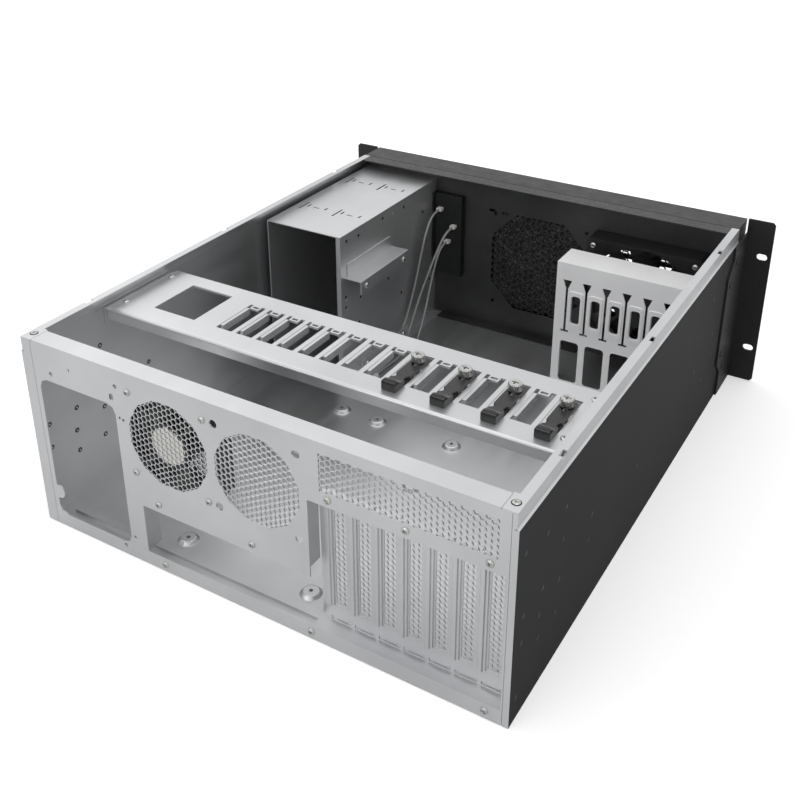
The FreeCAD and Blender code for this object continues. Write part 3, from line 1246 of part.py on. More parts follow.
def lead(name, route, radius):
    """A thin lead: straight runs joined by the largest tangent arcs that fit."""
    points = [lead_point(*p) for p in route]
    turns = [None]
    for i in range(1, len(points) - 1):
        arrive, leave = points[i] - points[i - 1], points[i + 1] - points[i]
        turn = arrive.getAngle(leave)
        arc_r = 0.45 * min(arrive.Length, leave.Length) / math.tan(turn / 2)
        setback = arc_r * math.tan(turn / 2)
        enter = points[i] - arrive.normalize() * setback
        leave_at = points[i] + leave.normalize() * setback
        bisector = (leave - arrive).normalize()
        crown = points[i] + bisector * (arc_r / math.cos(turn / 2) - arc_r)
        turns.append((enter, crown, leave_at, arc_r))
    print(name, "bend radii", [round(turn[3], 1) for turn in turns[1:]])
    edges, tail = [], points[0]
    for enter, crown, leave_at, _ in turns[1:]:
        edges.append(Part.LineSegment(tail, enter).toShape())
        edges.append(Part.Arc(enter, crown, leave_at).toShape())
        tail = leave_at
    edges.append(Part.LineSegment(tail, points[-1]).toShape())
    path = Part.Wire(edges)
    corners = [Vector(x, y, 0) for x, y in regular(LEAD_SIDES, radius)]
    section = Part.makePolygon(corners + corners[:1])
    area = Part.Face(section).Area
    section.Placement = Placement(points[0], Rotation(Vector(0, 0, 1), points[1] - points[0]))
    tube = path.makePipeShell([section], True, False)
    print(name, "volume over section times length", round(tube.Volume / (area * path.Length), 4))
    return node(made(name, tube), name)


LEAD_SIDES = 6
# Each point is X, the gap to the front wall and the height, for a board whose middle is LEAD_BOARD high.
LEAD_BOARD = 104
LEADS = {
    "lead_a": [(109, 12, 134), (109, 26, 134), (110, 40, 114), (112, 48, 84), (114, 57, 52), (114, 75, 22),
               (112, 98, 7), (109, 121, 4.2), (112, 145, 4), (112, 161, 4)],
    "lead_b": [(92, 12, 116), (92, 25, 116), (96, 38, 97), (102, 48, 70), (107, 59, 43), (106, 78, 18),
               (102, 99, 6), (95, 121, 3.6), (98, 147, 3.4), (98, 163, 3.4)],
    "lead_c": [(99, 12, 97), (99, 23, 97), (100, 35, 79), (100, 46, 54), (98, 60, 30), (94, 81, 12),
               (88, 102, 4.4), (81, 126, 3.4), (84, 150, 3.2), (84, 166, 3.2)],
}


def lead_plugs():
    """The connector at each end of the leads: three on the front board, three on the floor."""
    half_w, half_h = size("plug_w") / 2, size("plug_h") / 2
    for name, route in LEADS.items():
        top, end = lead_point(*route[0]), lead_point(*route[-1])
        header = Part.makeBox(2 * half_w, size("header_len"), 2 * half_h,
                              top - Vector(half_w, size("header_len"), half_h))
        plug = Part.makeBox(2 * half_w, size("plug_len"), 2 * half_h, end - Vector(half_w, 0, half_h))
        letter = name[-1]
        node(made(f"header_{letter}", header), f"header_{letter}")
        node(made(f"plug_{letter}", plug), f"plug_{letter}")


# ---------------------------------------------------------------- the whole case
chassis_tray()
rear_panel()
slot_bracket()
for number in range(1, SLOTS + 1):
    slot_cover(number)
crossbar()
for side, sign in (("a", 1), ("b", -1)):
    bar_angle(side, sign)
    rack_ear(side, sign)
nuts = []
for number, clip in enumerate(RETAINED, start=1):
    retainer(number, clip)
    thumb_screw(number, clip)
    nuts.append(clamp_nut(number, clip))
node(group("clamp_nuts", nuts), "clamp_nuts")
drive_cage()
disk_shelf("disk_shelf_upper", "shelf_top", -1)
disk_shelf("disk_shelf_lower", "shelf_low", 1)
card_guide()
front_wall()
bezel()
for number in (1, 2):
    bay_cover(number)
for name, side, screw, x_mid, z_mid, distance in (
    ("rear_fan", "fan_size", "fan_screw", "fan_a_x", "fan_z", "gauge"),
    ("front_fan", "big_fan_size", "big_fan_screw", "front_fan_x", "front_fan_z", "wall_back - fan_t"),
):
    place = (size(x_mid), size(z_mid), size("depth") / 2 - evaluate(distance))
    fan_frame(f"{name}_frame", size(side), size(screw), *place)
    fan_rotor(f"{name}_rotor", size(side), *place)
dust_filter()
front_board()
board_bracket()
button("power_button", "button_r", "button_z")
button("reset_button", "reset_r", "reset_z")
indicator_lamps()
front_ports()
all_screws()
for name, route in LEADS.items():
    lead(name, route, size("lead_r"))
lead_plugs()

doc.recompute()
for item in doc.Objects:
    if {"Invalid", "Error"} & set(item.State):
        raise SystemExit(f"{item.Label} failed: {item.State}")
os.makedirs("parts", exist_ok=True)
for item in NODES:
    shape = item.Shape
    if shape.isNull() or not shape.isValid() or not shape.Solids:
        raise SystemExit(f"{item.Label} has no valid solid")
    shape.exportStep(f"parts/{item.Label}.step")
print(len(NODES), "sub-parts written")
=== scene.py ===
import json
import math

import bmesh
import bpy
import numpy as np
from mathutils import Matrix, Vector
from mathutils.geometry import delaunay_2d_cdt


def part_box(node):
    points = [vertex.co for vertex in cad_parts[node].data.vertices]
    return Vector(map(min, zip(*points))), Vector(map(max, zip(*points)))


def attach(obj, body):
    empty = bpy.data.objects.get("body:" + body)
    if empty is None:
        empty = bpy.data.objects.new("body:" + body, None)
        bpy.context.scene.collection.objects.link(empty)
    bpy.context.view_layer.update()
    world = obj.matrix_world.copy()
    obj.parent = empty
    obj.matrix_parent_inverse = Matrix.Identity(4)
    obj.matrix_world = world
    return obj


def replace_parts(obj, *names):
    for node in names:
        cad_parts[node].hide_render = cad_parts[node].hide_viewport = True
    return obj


# Looks of the empty rack case. Metres, +Z up, the rear panel at +Y and the rack ears at -Y.
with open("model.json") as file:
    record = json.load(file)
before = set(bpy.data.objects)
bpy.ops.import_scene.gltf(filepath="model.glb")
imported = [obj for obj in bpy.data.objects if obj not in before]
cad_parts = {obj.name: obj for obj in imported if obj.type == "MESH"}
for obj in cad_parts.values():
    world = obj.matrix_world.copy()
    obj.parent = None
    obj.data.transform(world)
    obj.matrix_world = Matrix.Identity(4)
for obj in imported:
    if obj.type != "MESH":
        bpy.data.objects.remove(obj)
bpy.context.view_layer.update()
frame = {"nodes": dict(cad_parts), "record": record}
NODES = frame["nodes"]
SLOT_OF = {part["node"]: part["material_slot"] for part in frame["record"]["subparts"]}
MOVING = set(frame["record"]["behaviour"]["bodies"]) - {"case"}

MM = 0.001
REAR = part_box("rear_panel")[1].y
GAUGE = 1.2 * MM
BODY_TOP = 176 * MM
HALF_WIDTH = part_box("chassis_tray")[1].x


def linked(name, data):
    """A new object with this data, in the scene."""
    obj = bpy.data.objects.new(name, data)
    bpy.context.scene.collection.objects.link(obj)
    return obj


def evaluated(obj):
    """The object's mesh with its modifiers applied, as a new mesh."""
    bpy.context.view_layer.update()
    return bpy.data.meshes.new_from_object(obj.evaluated_get(bpy.context.evaluated_depsgraph_get()))


def less(obj, tool):
    """The object's mesh with the tool's solid cut out of it, as a new mesh; the tool is used up."""
    modifier = obj.modifiers.new("cut", "BOOLEAN")
    modifier.object = tool
    modifier.solver = "EXACT"
    result = evaluated(obj)
    obj.modifiers.clear()
    bpy.data.objects.remove(tool)
    return result


# ---------------------------------------------------------------- camera
AZIMUTH, ELEVATION = 149.24, -24.74
CAMERA_AT = (-0.4146, REAR + 0.4755, 0.5777)
SENSOR, LENS, SHIFT_UP = 36, 47.8845, -0.175


def add_camera():
    """The camera at the viewing angle; its axis meets the frame a little above the middle."""
    data = bpy.data.cameras.new("camera")
    data.sensor_width = SENSOR
    data.lens = LENS
    data.shift_y = SHIFT_UP
    data.clip_start = 0.01
    camera = linked("camera", data)
    camera.location = CAMERA_AT
    camera.rotation_euler = (math.radians(90 + ELEVATION), 0, math.radians(-AZIMUTH))
    bpy.context.scene.camera = camera


add_camera()


# ---------------------------------------------------------------- materials
# A pattern's width is in millimetres. Where the real one is too fine to show, its comment says so.
# A Mix node takes its share in socket 0, two plain values in 2 and 3 or two colours in 6 and 7; the
# mixed colour is its output 2.
ZINC_LIGHT, ZINC_DARK = "d1d2d3", "c3c4c6"


def linear(text):
    """An sRGB colour such as "8a8a8a" as linear RGBA."""
    parts = [int(text[i:i + 2], 16) / 255 for i in (0, 2, 4)]
    return [c / 12.92 if c <= 0.04045 else ((c + 0.055) / 1.055) ** 2.4 for c in parts] + [1]


def feed(node, inputs):
    """Gives each named input of a node a value, or a link from another node's output."""
    for socket, value in dict(inputs).items():
        if isinstance(value, bpy.types.NodeSocket):
            node.id_data.links.new(value, node.inputs[socket])
        else:
            node.inputs[socket].default_value = value


def add(tree, kind, inputs=(), output=0, **settings):
    """Adds a node with its settings, values and links, and returns one of its outputs."""
    node = tree.nodes.new(kind)
    for key, value in settings.items():
        setattr(node, key, value)
    feed(node, inputs)
    return node.outputs[output]


class Finish:
    """A new material: its Principled shader, and the patterns that several finishes share."""

    def __init__(self, name, colour, rough, metal=0.0):
        self.material = bpy.data.materials.new(name)
        self.material.use_nodes = True
        self.give({"Base Color": linear(colour), "Roughness": rough, "Metallic": metal})
        self.place = self.add("ShaderNodeTexCoord", output="Object")

    def give(self, inputs):
        """Values and links for the shader's sockets."""
        feed(self.material.node_tree.nodes["Principled BSDF"], inputs)

    def add(self, kind, inputs=(), output=0, **settings):
        """A node of this material."""
        return add(self.material.node_tree, kind, inputs, output, **settings)

    def patches(self, width, detail, low=0.0, high=1.0):
        """Noise about as wide as given, from low to high."""
        noise = {"Vector": self.place, "Scale": 1 / (width * MM), "Detail": detail}
        spread = {"Value": self.add("ShaderNodeTexNoise", noise), "From Min": 0.3, "From Max": 0.7,
                  "To Min": low, "To Max": high}
        return self.add("ShaderNodeMapRange", spread)

    def drift(self, colour, other, width, detail):
        """A colour that drifts softly between two close ones."""
        mix = {0: self.patches(width, detail), 6: linear(colour), 7: linear(other)}
        return self.add("ShaderNodeMix", mix, 2, data_type="RGBA")

    def streaks(self):
        """Noise drawn out along Y, as rolling leaves it."""
        across, along = 16.67 * MM, 333.3 * MM
        stretch = {0: self.place, 1: (1 / across, 1 / along, 1 / across)}
        place = self.add("ShaderNodeVectorMath", stretch, operation="MULTIPLY")
        return self.add("ShaderNodeTexNoise", {"Vector": place, "Scale": 1, "Detail": 3, "Roughness": 0.6})

    def grain(self, width, strength, depth, rough=0.5):
        """A raised grain of a width and a depth."""
        noise = {"Vector": self.place, "Scale": 1 / (width * MM), "Detail": 2, "Roughness": rough}
        height = {"Height": self.add("ShaderNodeTexNoise", noise), "Strength": strength,
                  "Distance": depth * MM}
        self.give({"Normal": self.add("ShaderNodeBump", height)})


def zinc_coated_sheet(name="zinc_coated_sheet", light=ZINC_LIGHT, dark=ZINC_DARK, rough=0.35, metal=0.82):
    """Zinc-coated steel sheet, as rolled: soft clouds in its grey, long faint streaks in its gloss.

    The coating's own grain is finer than 0.2 mm; it is drawn 1 to 2.4 mm wide so that it shows."""
    m = Finish(name, light, rough, metal)
    fine = m.add("ShaderNodeTexNoise", {"Vector": m.place, "Scale": 1 / (2.381 * MM), "Detail": 2})
    both = m.add("ShaderNodeMath", {0: fine, 1: 0.35, 2: m.streaks()}, operation="MULTIPLY_ADD")
    gloss = {"Value": both, "From Min": 0.4, "From Max": 0.95, "To Min": rough - 0.05,
             "To Max": rough + 0.09}
    m.give({"Base Color": m.drift(light, dark, 111.1, 4), "Roughness": m.add("ShaderNodeMapRange", gloss)})
    m.grain(1.111, 0.12, 0.08)
    return m.material


def powder_coat(name="powder_coat", colour="19191a", rough=0.48):
    """Matt black powder coat, baked on: an orange-peel surface with a little dust on it."""
    m = Finish(name, colour, rough)
    m.give({"Specular IOR Level": 0.35, "Base Color": m.drift(colour, "202021", 71.43, 5),
            "Roughness": m.patches(3.846, 3, rough - 0.07, rough + 0.08)})
    m.grain(0.6667, 0.35, 0.12, 0.6)
    return m.material


def tray_sheet():
    """The tray's sheet: bare zinc coating inside, powder coat on both walls' outer faces and below.

    A point is painted where |x| is past the wall's outer face, less a skin, or z is within the skin."""
    rough, metal, paint_rough, skin = 0.33, 0.9, 0.58, 0.05 * MM
    m = Finish("tray_sheet", ZINC_LIGHT, rough, metal)
    x, _, z = m.add("ShaderNodeSeparateXYZ", {"Vector": m.place}).node.outputs
    across = m.add("ShaderNodeMath", {0: x}, operation="ABSOLUTE")
    side = m.add("ShaderNodeMath", {0: across, 1: HALF_WIDTH - skin}, operation="GREATER_THAN")
    below = m.add("ShaderNodeMath", {0: z, 1: skin}, operation="LESS_THAN")
    painted = m.add("ShaderNodeMath", {0: side, 1: below}, operation="MAXIMUM")
    colours = {0: painted, 6: m.drift(ZINC_LIGHT, ZINC_DARK, 111.1, 4),
               7: m.drift("121213", "171718", 71.43, 5)}
    gloss = {"Value": m.streaks(), "From Min": 0.3, "From Max": 0.7, "To Min": rough - 0.04,
             "To Max": rough + 0.07}
    roughs = {0: painted, 2: m.add("ShaderNodeMapRange", gloss), 3: paint_rough}
    m.give({"Specular IOR Level": 0.18, "Base Color": m.add("ShaderNodeMix", colours, 2, data_type="RGBA"),
            "Roughness": m.add("ShaderNodeMix", roughs),
            "Metallic": m.add("ShaderNodeMix", {0: painted, 2: metal, 3: 0.0})})
    m.grain(0.8333, 0.2, 0.1)
    return m.material


def moulded_plastic(name, colour, rough, lighter, grain=1.429):
    """Injection-moulded plastic, such as ABS: a spark-eroded grain and slightly uneven gloss.

    The real grain is about 0.1 mm; it is drawn 1.1 to 3.4 mm wide so that it shows."""
    m = Finish(name, colour, rough)
    m.give({"Base Color": m.drift(colour, lighter, 33.33, 4),
            "Roughness": m.patches(11.11, 3, rough - 0.06, rough + 0.06)})
    m.grain(grain, 0.25, 0.1, 0.6)
    return m.material


def zinc_plate(name):
    """Zinc-plated steel, turned or pressed: bright, with light tool marks."""
    m = Finish(name, "c4c4c2", 0.26, 1.0)
    m.give({"Base Color": m.drift("c8c8c6", "adadab", 2.857, 3), "Roughness": m.patches(1.25, 2, 0.2, 0.34)})
    return m.material


def open_cell_foam():
    """Open-cell polyurethane foam, as cut: black, full of pores, each drawn with painted shade in its middle
    and a painted highlight on its rim.

    The real pores are near 1 mm; they are drawn 2.4 mm wide so that they show."""
    m = Finish("open_cell_foam", "151515", 0.95)
    pores = m.add("ShaderNodeTexVoronoi", {"Vector": m.place, "Scale": 1 / (2.381 * MM)})
    share = m.add("ShaderNodeMapRange", {"Value": pores, "From Min": 0.45, "From Max": 0.85})
    # Painted shade and highlight: each pore dark in its middle and light towards its rim.
    mix = {0: share, 6: linear("030303"), 7: linear("4a4a4a")}
    bump = {"Height": pores, "Strength": 0.9, "Distance": 0.6 * MM}
    m.give({"Base Color": m.add("ShaderNodeMix", mix, 2, data_type="RGBA"),
            "Normal": m.add("ShaderNodeBump", bump)})
    return m.material


def solder_mask():
    """Dark solder mask on glass epoxy, screen printed: a satin coat with fine copper tracks under it."""
    m = Finish("solder_mask", "0e100f", 0.35)
    tracks = {"Vector": m.place, "Scale": 1 / (3.846 * MM), "Color1": linear("101211"),
              "Color2": linear("141615"), "Mortar": linear("232624"), "Mortar Size": 0.012}
    m.give({"Base Color": m.add("ShaderNodeTexBrick", tracks), "Roughness": m.patches(3.333, 2, 0.28, 0.45)})
    return m.material


def tinted_acrylic():
    """Tinted acrylic, moulded: the glossy green lens of an indicator, which lets some light in."""
    m = Finish("tinted_acrylic", "5c8f62", 0.18)
    m.give({"Base Color": m.drift("5c8f62", "6fa676", 2, 2), "Transmission Weight": 0.4})
    return m.material


FINISHES = {
    "sheet_steel": zinc_coated_sheet(),
    "black_paint": powder_coat(),
    "bezel_plastic": moulded_plastic("bezel_abs", "262627", 0.5, "2c2c2e"),
    "fan_plastic": moulded_plastic("fan_polyester", "121213", 0.36, "18181a", 2.5),
    "retainer_plastic": moulded_plastic("retainer_nylon", "0f0f10", 0.22, "161617", 3.333),
    "fasteners": zinc_plate("fastener_zinc"),
    "foam": open_cell_foam(),
    "circuit_board": solder_mask(),
    "button_plastic": moulded_plastic("button_abs", "4a4a4c", 0.42, "525254"),
    "lamp_lens": tinted_acrylic(),
    "port_shell": zinc_plate("shell_zinc"),
    "connector_plastic": moulded_plastic("connector_nylon", "d8d6cf", 0.5, "e2e0da"),
    "lead_sleeve": moulded_plastic("lead_vinyl", "8c8c8c", 0.5, "9c9c9c", 1.111),
}
# A nearly white, far less metallic copy of the zinc sheet for the card guide and its rings: painted light,
# for the light that falls on the guide's face from the rear.
GUIDE_SHEET_PAINTED_LIGHT = zinc_coated_sheet("guide_zinc_painted_light", "f3f3f3", "eaeaeb", 0.45, 0.15)
# A lighter, glossier copy of the black powder coat for the front wall and its grilles: painted light, for
# the light that falls on the wall from the rear.
FRONT_COAT_PAINTED_LIGHT = powder_coat("front_coat_painted_light", "3a3a3b", 0.4)
# Nodes with a finish of their own: the tray's two-tone sheet, and the lit copies for the card guide and the
# front wall.
FINISH_OR_LIT_COPY = {"chassis_tray": tray_sheet(), "card_guide": GUIDE_SHEET_PAINTED_LIGHT, "front_wall": FRONT_COAT_PAINTED_LIGHT}
for label, obj in NODES.items():
    obj.data.materials.clear()
    obj.data.materials.append(FINISH_OR_LIT_COPY.get(label, FINISHES[SLOT_OF[label]]))


# ---------------------------------------------------------------- mesh helpers
# A plan is an array of points in XZ, anticlockwise; a ring is one in XYZ. Faces are lists of numbers.
def strip(count, rows):
    """The faces of a skin through rings: face (i, k) joins points k and k + 1 of ring i to ring i + 1."""
    ring, k = np.indices((rows - 1, count))
    near, far, after = ring * count, (ring + 1) * count, (k + 1) % count
    return np.stack([near + k, near + after, far + after, far + k], axis=-1).reshape(-1, 4).tolist()


def capped(rings):
    """The points and faces of a closed solid: a skin through rings, and a flat face on each end."""
    rings = np.array(rings, float)
    rows, count = rings.shape[:2]
    last = np.arange((rows - 1) * count, rows * count)
    ends = [list(range(count))[::-1], last.tolist()]
    return rings.reshape(-1, 3), strip(count, rows) + ends


def prism(axis, plan, first, last):
    """A closed solid: a plan in two axes, carried along the third from one place to another."""
    return capped([np.insert(plan, axis, place, axis=1) for place in (first, last)])


def joined(shapes):
    """Several shapes as one: their points in a row, and their faces' numbers moved to match."""
    starts = np.cumsum([0] + [len(points) for points, _ in shapes])
    faces = [np.add(face, start).tolist() for (_, sides), start in zip(shapes, starts) for face in sides]
    return np.concatenate([points for points, _ in shapes]), faces


def facing(way):
    """The turn that brings +Z to a way, as a 3 x 3 array."""
    return np.array(Vector(way).to_track_quat("Z", "Y").to_matrix())


def solid(name, points, faces):
    """An undressed mesh object."""
    mesh = bpy.data.meshes.new(name)
    mesh.from_pydata(points, [], faces)
    return linked(name, mesh)


def new_piece(name, points, faces, body, slot_name, material=None):
    """A mesh piece that rides on a body and takes its finish from a slot."""
    obj = solid(name, points, faces)
    obj.data.validate()
    obj.data.materials.append(material or FINISHES[slot_name])
    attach(obj, body)
    return obj


def points_of(mesh):
    """A mesh's points as an array."""
    flat = np.empty(len(mesh.vertices) * 3, np.float32)
    mesh.vertices.foreach_get("co", flat)
    return flat.reshape(-1, 3).astype(float)


def weld(mesh, distance, flat=False):
    """A mesh's doubled corners are joined and, where asked, its faces that lie in one plane."""
    shape = bmesh.new()
    shape.from_mesh(mesh)
    bmesh.ops.remove_doubles(shape, verts=shape.verts, dist=distance)
    if flat:
        bmesh.ops.dissolve_limit(shape, angle_limit=math.radians(1), verts=shape.verts, edges=shape.edges)
    shape.to_mesh(mesh)
    shape.free()


def clip(plan, start, end):
    """The part of a plan to the left of a line: its points on that side, and where its edges cross.

    A point's side is the cross product of the line with the way from the line's start to the point."""
    ahead = np.subtract(end, start)
    before = np.roll(plan, 1, axis=0)
    a, b = (ahead[0] * (p[:, 1] - start[1]) - ahead[1] * (p[:, 0] - start[0]) for p in (before, plan))
    share = a / np.where(a == b, 1, a - b)
    both = np.stack([before + (plan - before) * share[:, None], plan], axis=1)
    return both[np.stack([(a > 0) != (b > 0), b > 0], axis=1)]


def area(plan):
    """Half the sum of the cross products of neighbouring points."""
    x, z = plan.T
    return 0.5 * abs(x @ np.roll(z, 1) - z @ np.roll(x, 1))


def ring_of(x, z, radius, sides, turn=0.0):
    """A regular polygon: points at equal turns on a circle."""
    turns = turn + 2 * math.pi * np.arange(sides) / sides
    return np.stack([x + radius * np.cos(turns), z + radius * np.sin(turns)], axis=-1)


def arcs(centres, radius, sweep, steps):
    """A plan through one arc round each centre: arc i turns by the sweep from where arc i - 1 ended.

    The first arc starts straight below its centre."""
    turns = np.arange(len(centres))[:, None] + np.arange(steps + 1) / steps
    turns = np.radians(sweep * turns - 90)
    ways = np.stack([np.cos(turns), np.sin(turns)], axis=-1)
    return (np.array(centres)[:, None] + radius * ways).reshape(-1, 2)


def obround(x, z, length, width, upright=False):
    """A slot with round ends: two half circles."""
    half = (length - width) / 2
    plan = arcs([(half, 0), (-half, 0)], width / 2, 180, 8)
    if upright:
        plan = plan[:, ::-1] * (-1, 1)
    return plan + (x, z)


def rounded_rect(x, z_low, z_high, width, radius):
    """A rectangle with round corners: four quarter circles."""
    left, right = x - width / 2 + radius, x + width / 2 - radius
    low, high = z_low + radius, z_high - radius
    return arcs([(right, low), (right, high), (left, high), (left, low)], radius, 90, 6)


def rectangle(x, half, z_low, z_high):
    """A rectangle about x."""
    return np.array([(x - half, z_low), (x + half, z_low), (x + half, z_high), (x - half, z_high)])


def octagon(x, z, half, corner):
    """An eight-sided field: corner is how far its slanting sides start from the middle."""
    return np.array([(half, -corner), (half, corner), (corner, half), (-corner, half),
                     (-half, corner), (-half, -corner), (-corner, -half), (corner, -half)]) + (x, z)


def shrunk(plan, margin):
    """A convex plan moved towards its middle by about a margin: scaled by 1 - margin / reach."""
    middle = plan.mean(axis=0)
    reach = np.linalg.norm(plan - middle, axis=1).max()
    return middle + (plan - middle) * (1 - margin / reach)


def hexagons(outline, pitch, across, least=0.12):
    """Hexagon holes on a staggered grid, clipped by a convex outline; small slivers are left out.

    Column i lies i * sqrt(3) / 2 * pitch from the middle, and every other column half a pitch higher."""
    low, high = outline.min(axis=0), outline.max(axis=0)
    middle, half = (low + high) / 2, (high - low) / 2
    step = pitch * math.sqrt(3) / 2
    columns, rows = int(half[0] / step) + 2, int(half[1] / pitch) + 2
    hexagon = ring_of(0, 0, across / math.sqrt(3), 6)
    holes = []
    for i in range(-columns, columns + 1):
        for j in range(-rows, rows + 1):
            hole = hexagon + middle + (i * step, (j + i % 2 / 2) * pitch)
            for k in range(len(outline)):
                hole = clip(hole, outline[k - 1], outline[k])
            if len(hole) > 2 and area(hole) > least * area(hexagon):
                holes.append(hole)
    return holes


# What the triangulation keeps, and how near two points count as one, in metres.
INSIDE, MERGING = 1, 1e-7


def perforated(name, outline, holes, y_front, thickness, slot_name, material=None):
    """A flat plate of the case with holes: triangles between the outlines, in front and a thickness behind.

    Each side of a triangle that no other triangle shares gets a wall from front to back."""
    ends = np.cumsum([len(plan) for plan in (outline, *holes)])
    loops = [part.tolist() for part in np.split(np.arange(ends[-1]), ends[:-1])]
    corners = np.concatenate([outline, *holes]).tolist()
    flat, _, triangles, _, _, origins = delaunay_2d_cdt(corners, [], loops, INSIDE, MERGING)
    kept = np.array([t for t, origin in zip(triangles, origins) if list(origin) == [0]])
    front, count = np.insert(np.array(flat), 1, y_front, axis=1), len(flat)
    edges = kept[:, [[0, 1], [1, 2], [2, 0]]].reshape(-1, 2)
    rims = edges[~np.isin(edges @ (1, count), edges @ (count, 1))]
    walls = np.column_stack([rims[:, ::-1], rims + count])
    faces = kept.tolist() + (kept[:, ::-1] + count).tolist() + walls.tolist()
    points = np.concatenate([front, front - (0, thickness, 0)])
    new_piece(name, points, faces, "case", slot_name, material)


def recut(node, cutters, name):
    """A copy of a CAD node with some plans cut through it along Y; it replaces the node."""
    copy = linked(name, NODES[node].data.copy())
    low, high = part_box(node)
    tool = joined([prism(1, plan, high.y + MM, low.y - MM) for plan in cutters])
    copy.data = less(copy, solid(f"{name}_cutter", *tool))
    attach(copy, "case")
    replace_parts(copy, node)


# ---------------------------------------------------------------- perforated sheets
# Places in millimetres; a place's back is its distance in front of the rear panel's outer face.
FREE_FAN = [m for m in frame["record"]["mounts"] if m["name"] == "free_fan_position"][0]["pos_m"]
FRONT_FANS = ((-130, 86), (-8, 86))
SLOT_X, SLOT_LOW, SLOT_TOP, SLOT_PITCH = -74.6, 27, 124.5, 20.32
SLOT_COUNT = 7
COVER_T = 0.9
WALL_BACK = 500
FAN_HOLES, GRILLE_R = 71.5, 40.3
FIELD_EDGE = 2
# Each sheet's hexagon holes by their pitch and their width across flats.
REAR_HOLES = (4.9 * MM, 4.2 * MM)
FRONT_HOLES = (7.6 * MM, 6.5 * MM)
COVER_HOLES = (4.7 * MM, 4 * MM)


def rear_grilles():
    """The rear panel with fine perforation in its two fan grilles and long vent, and its small holes."""
    low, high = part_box("fan_screws")
    centres = (((low.x + high.x) / 2, (low.z + high.z) / 2), (FREE_FAN[0], FREE_FAN[2]))
    fans = [ring_of(x, z, GRILLE_R * MM, 12, math.radians(15)) for x, z in centres]
    vent, grille = rectangle(-134.9, 67.3, 133, 169.4) * MM, rectangle(-135, 67, 136.2, 167) * MM
    reach = FAN_HOLES / 2 * MM
    small = [ring_of(FREE_FAN[0] + a * reach, FREE_FAN[2] + b * reach, 3.4 * MM, 24)
             for a in (-1, 1) for b in (-1, 1)]
    small += [obround(185, 150.2, 4.6, 3.4, True) * MM, obround(164, 159.9, 3, 1.2, True) * MM,
              obround(120.8, 149.8, 6.4, 4, True) * MM]
    # By X, Z and radius.
    round_holes = ((115.5, 160.8, 1.9), (114.2, 133.4, 1.4), (110.6, 132.4, 1.4), (113.8, 21.4, 1.5),
                   (125.6, 8.6, 1.9), (206.5, 157, 1.3), (206.5, 135, 1.3), (206.5, 21, 1.3))
    small += [ring_of(x, z, r, 16) * MM for x, z, r in round_holes]
    recut("rear_panel", fans + [vent] + small, "rear_sheet")
    fields = [shrunk(outline, FIELD_EDGE * MM) for outline in fans] + [grille]
    for name, outline, field in zip(("fan_grille", "free_grille", "vent_grille"), fans + [vent], fields):
        perforated(name, outline, hexagons(field, *REAR_HOLES), REAR, GAUGE, "sheet_steel")


def front_grilles():
    """The front wall's two large grilles, and two slots above them."""
    fans = [octagon(x, z, 58, 28) * MM for x, z in FRONT_FANS]
    slots = [obround(48, 142, 9, 3) * MM, obround(33, 141, 9, 3) * MM]
    recut("front_wall", fans + slots, "front_sheet")
    for name, outline in zip(("front_grille_a", "front_grille_b"), fans):
        holes = hexagons(shrunk(outline, FIELD_EDGE * MM), *FRONT_HOLES)
        # The grilles take the front wall's lighter copy of the powder coat: painted light.
        perforated(name, outline, holes, REAR - WALL_BACK * MM, GAUGE, "black_paint", FRONT_COAT_PAINTED_LIGHT)


def cover_grilles():
    """Each slot cover with a fine perforated field."""
    for i in range(SLOT_COUNT):
        node = f"slot_cover_{i + 1}"
        x = SLOT_X - SLOT_PITCH * i
        field = rectangle(x, 5.8, SLOT_LOW, SLOT_TOP) * MM
        inner = rectangle(x, 4.7, SLOT_LOW + FIELD_EDGE, SLOT_TOP - FIELD_EDGE) * MM
        recut(node, [field], f"cover_{i + 1}_strip")
        perforated(f"cover_{i + 1}_field", field, hexagons(inner, *COVER_HOLES),
                   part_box(node)[0].y + COVER_T * MM, COVER_T * MM, "sheet_steel")


rear_grilles()
front_grilles()
cover_grilles()


# ---------------------------------------------------------------- pressed and turned details
def skin(name, rings, material):
    """An open skin through rings, pressed in the case's sheet."""
    points, faces = capped(rings)
    new_piece(name, points, faces[:-2], "case", "sheet_steel", material)


def slot_ribs():
    """The pressed rib between two card slots: a ridge whose section is carried up Z.

    The section's height is scaled by a share that falls almost to nothing at both ends."""
    face = REAR - 13 * MM
    section = np.array([(-2.3, 0), (-1.7, 1.1), (-1.4, 1.3), (1.4, 1.3), (1.7, 1.1), (2.3, 0)])
    for i in range(-1, SLOT_COUNT):
        at = ((SLOT_X - SLOT_PITCH * (i + 0.5)) * MM, face, 0)
        rings = [np.insert(section * (1, share), 2, z, axis=1) * MM + at
                 for z, share in ((25, 0.02), (26.2, 1), (121, 1), (122.2, 0.02))]
        new_piece(f"slot_rib_{i + 2}", *capped(rings), "case", "sheet_steel")


def board_embosses():
    """A smooth skin on each pressed board emboss, with the edge of its tapped hole: a turned profile."""
    spots = [(x, back) for x in (93, -30, -196) for back in (37, 192, 265)] + [(52, 265)]
    profile = [(9.2, 1.15, 0), (8.8, 1.4, 0), (6.7, 4, 0), (6.2, 4.35, 0), (5.6, 4.5, 0), (1.9, 4.5, 0),
               (1.65, 4.2, 0)]
    for number, (x, back) in enumerate(spots, start=1):
        rings = turned(profile, 36) * MM + (x * MM, REAR - back * MM, 0)
        skin(f"emboss_{number}", rings, FINISH_OR_LIT_COPY["chassis_tray"])


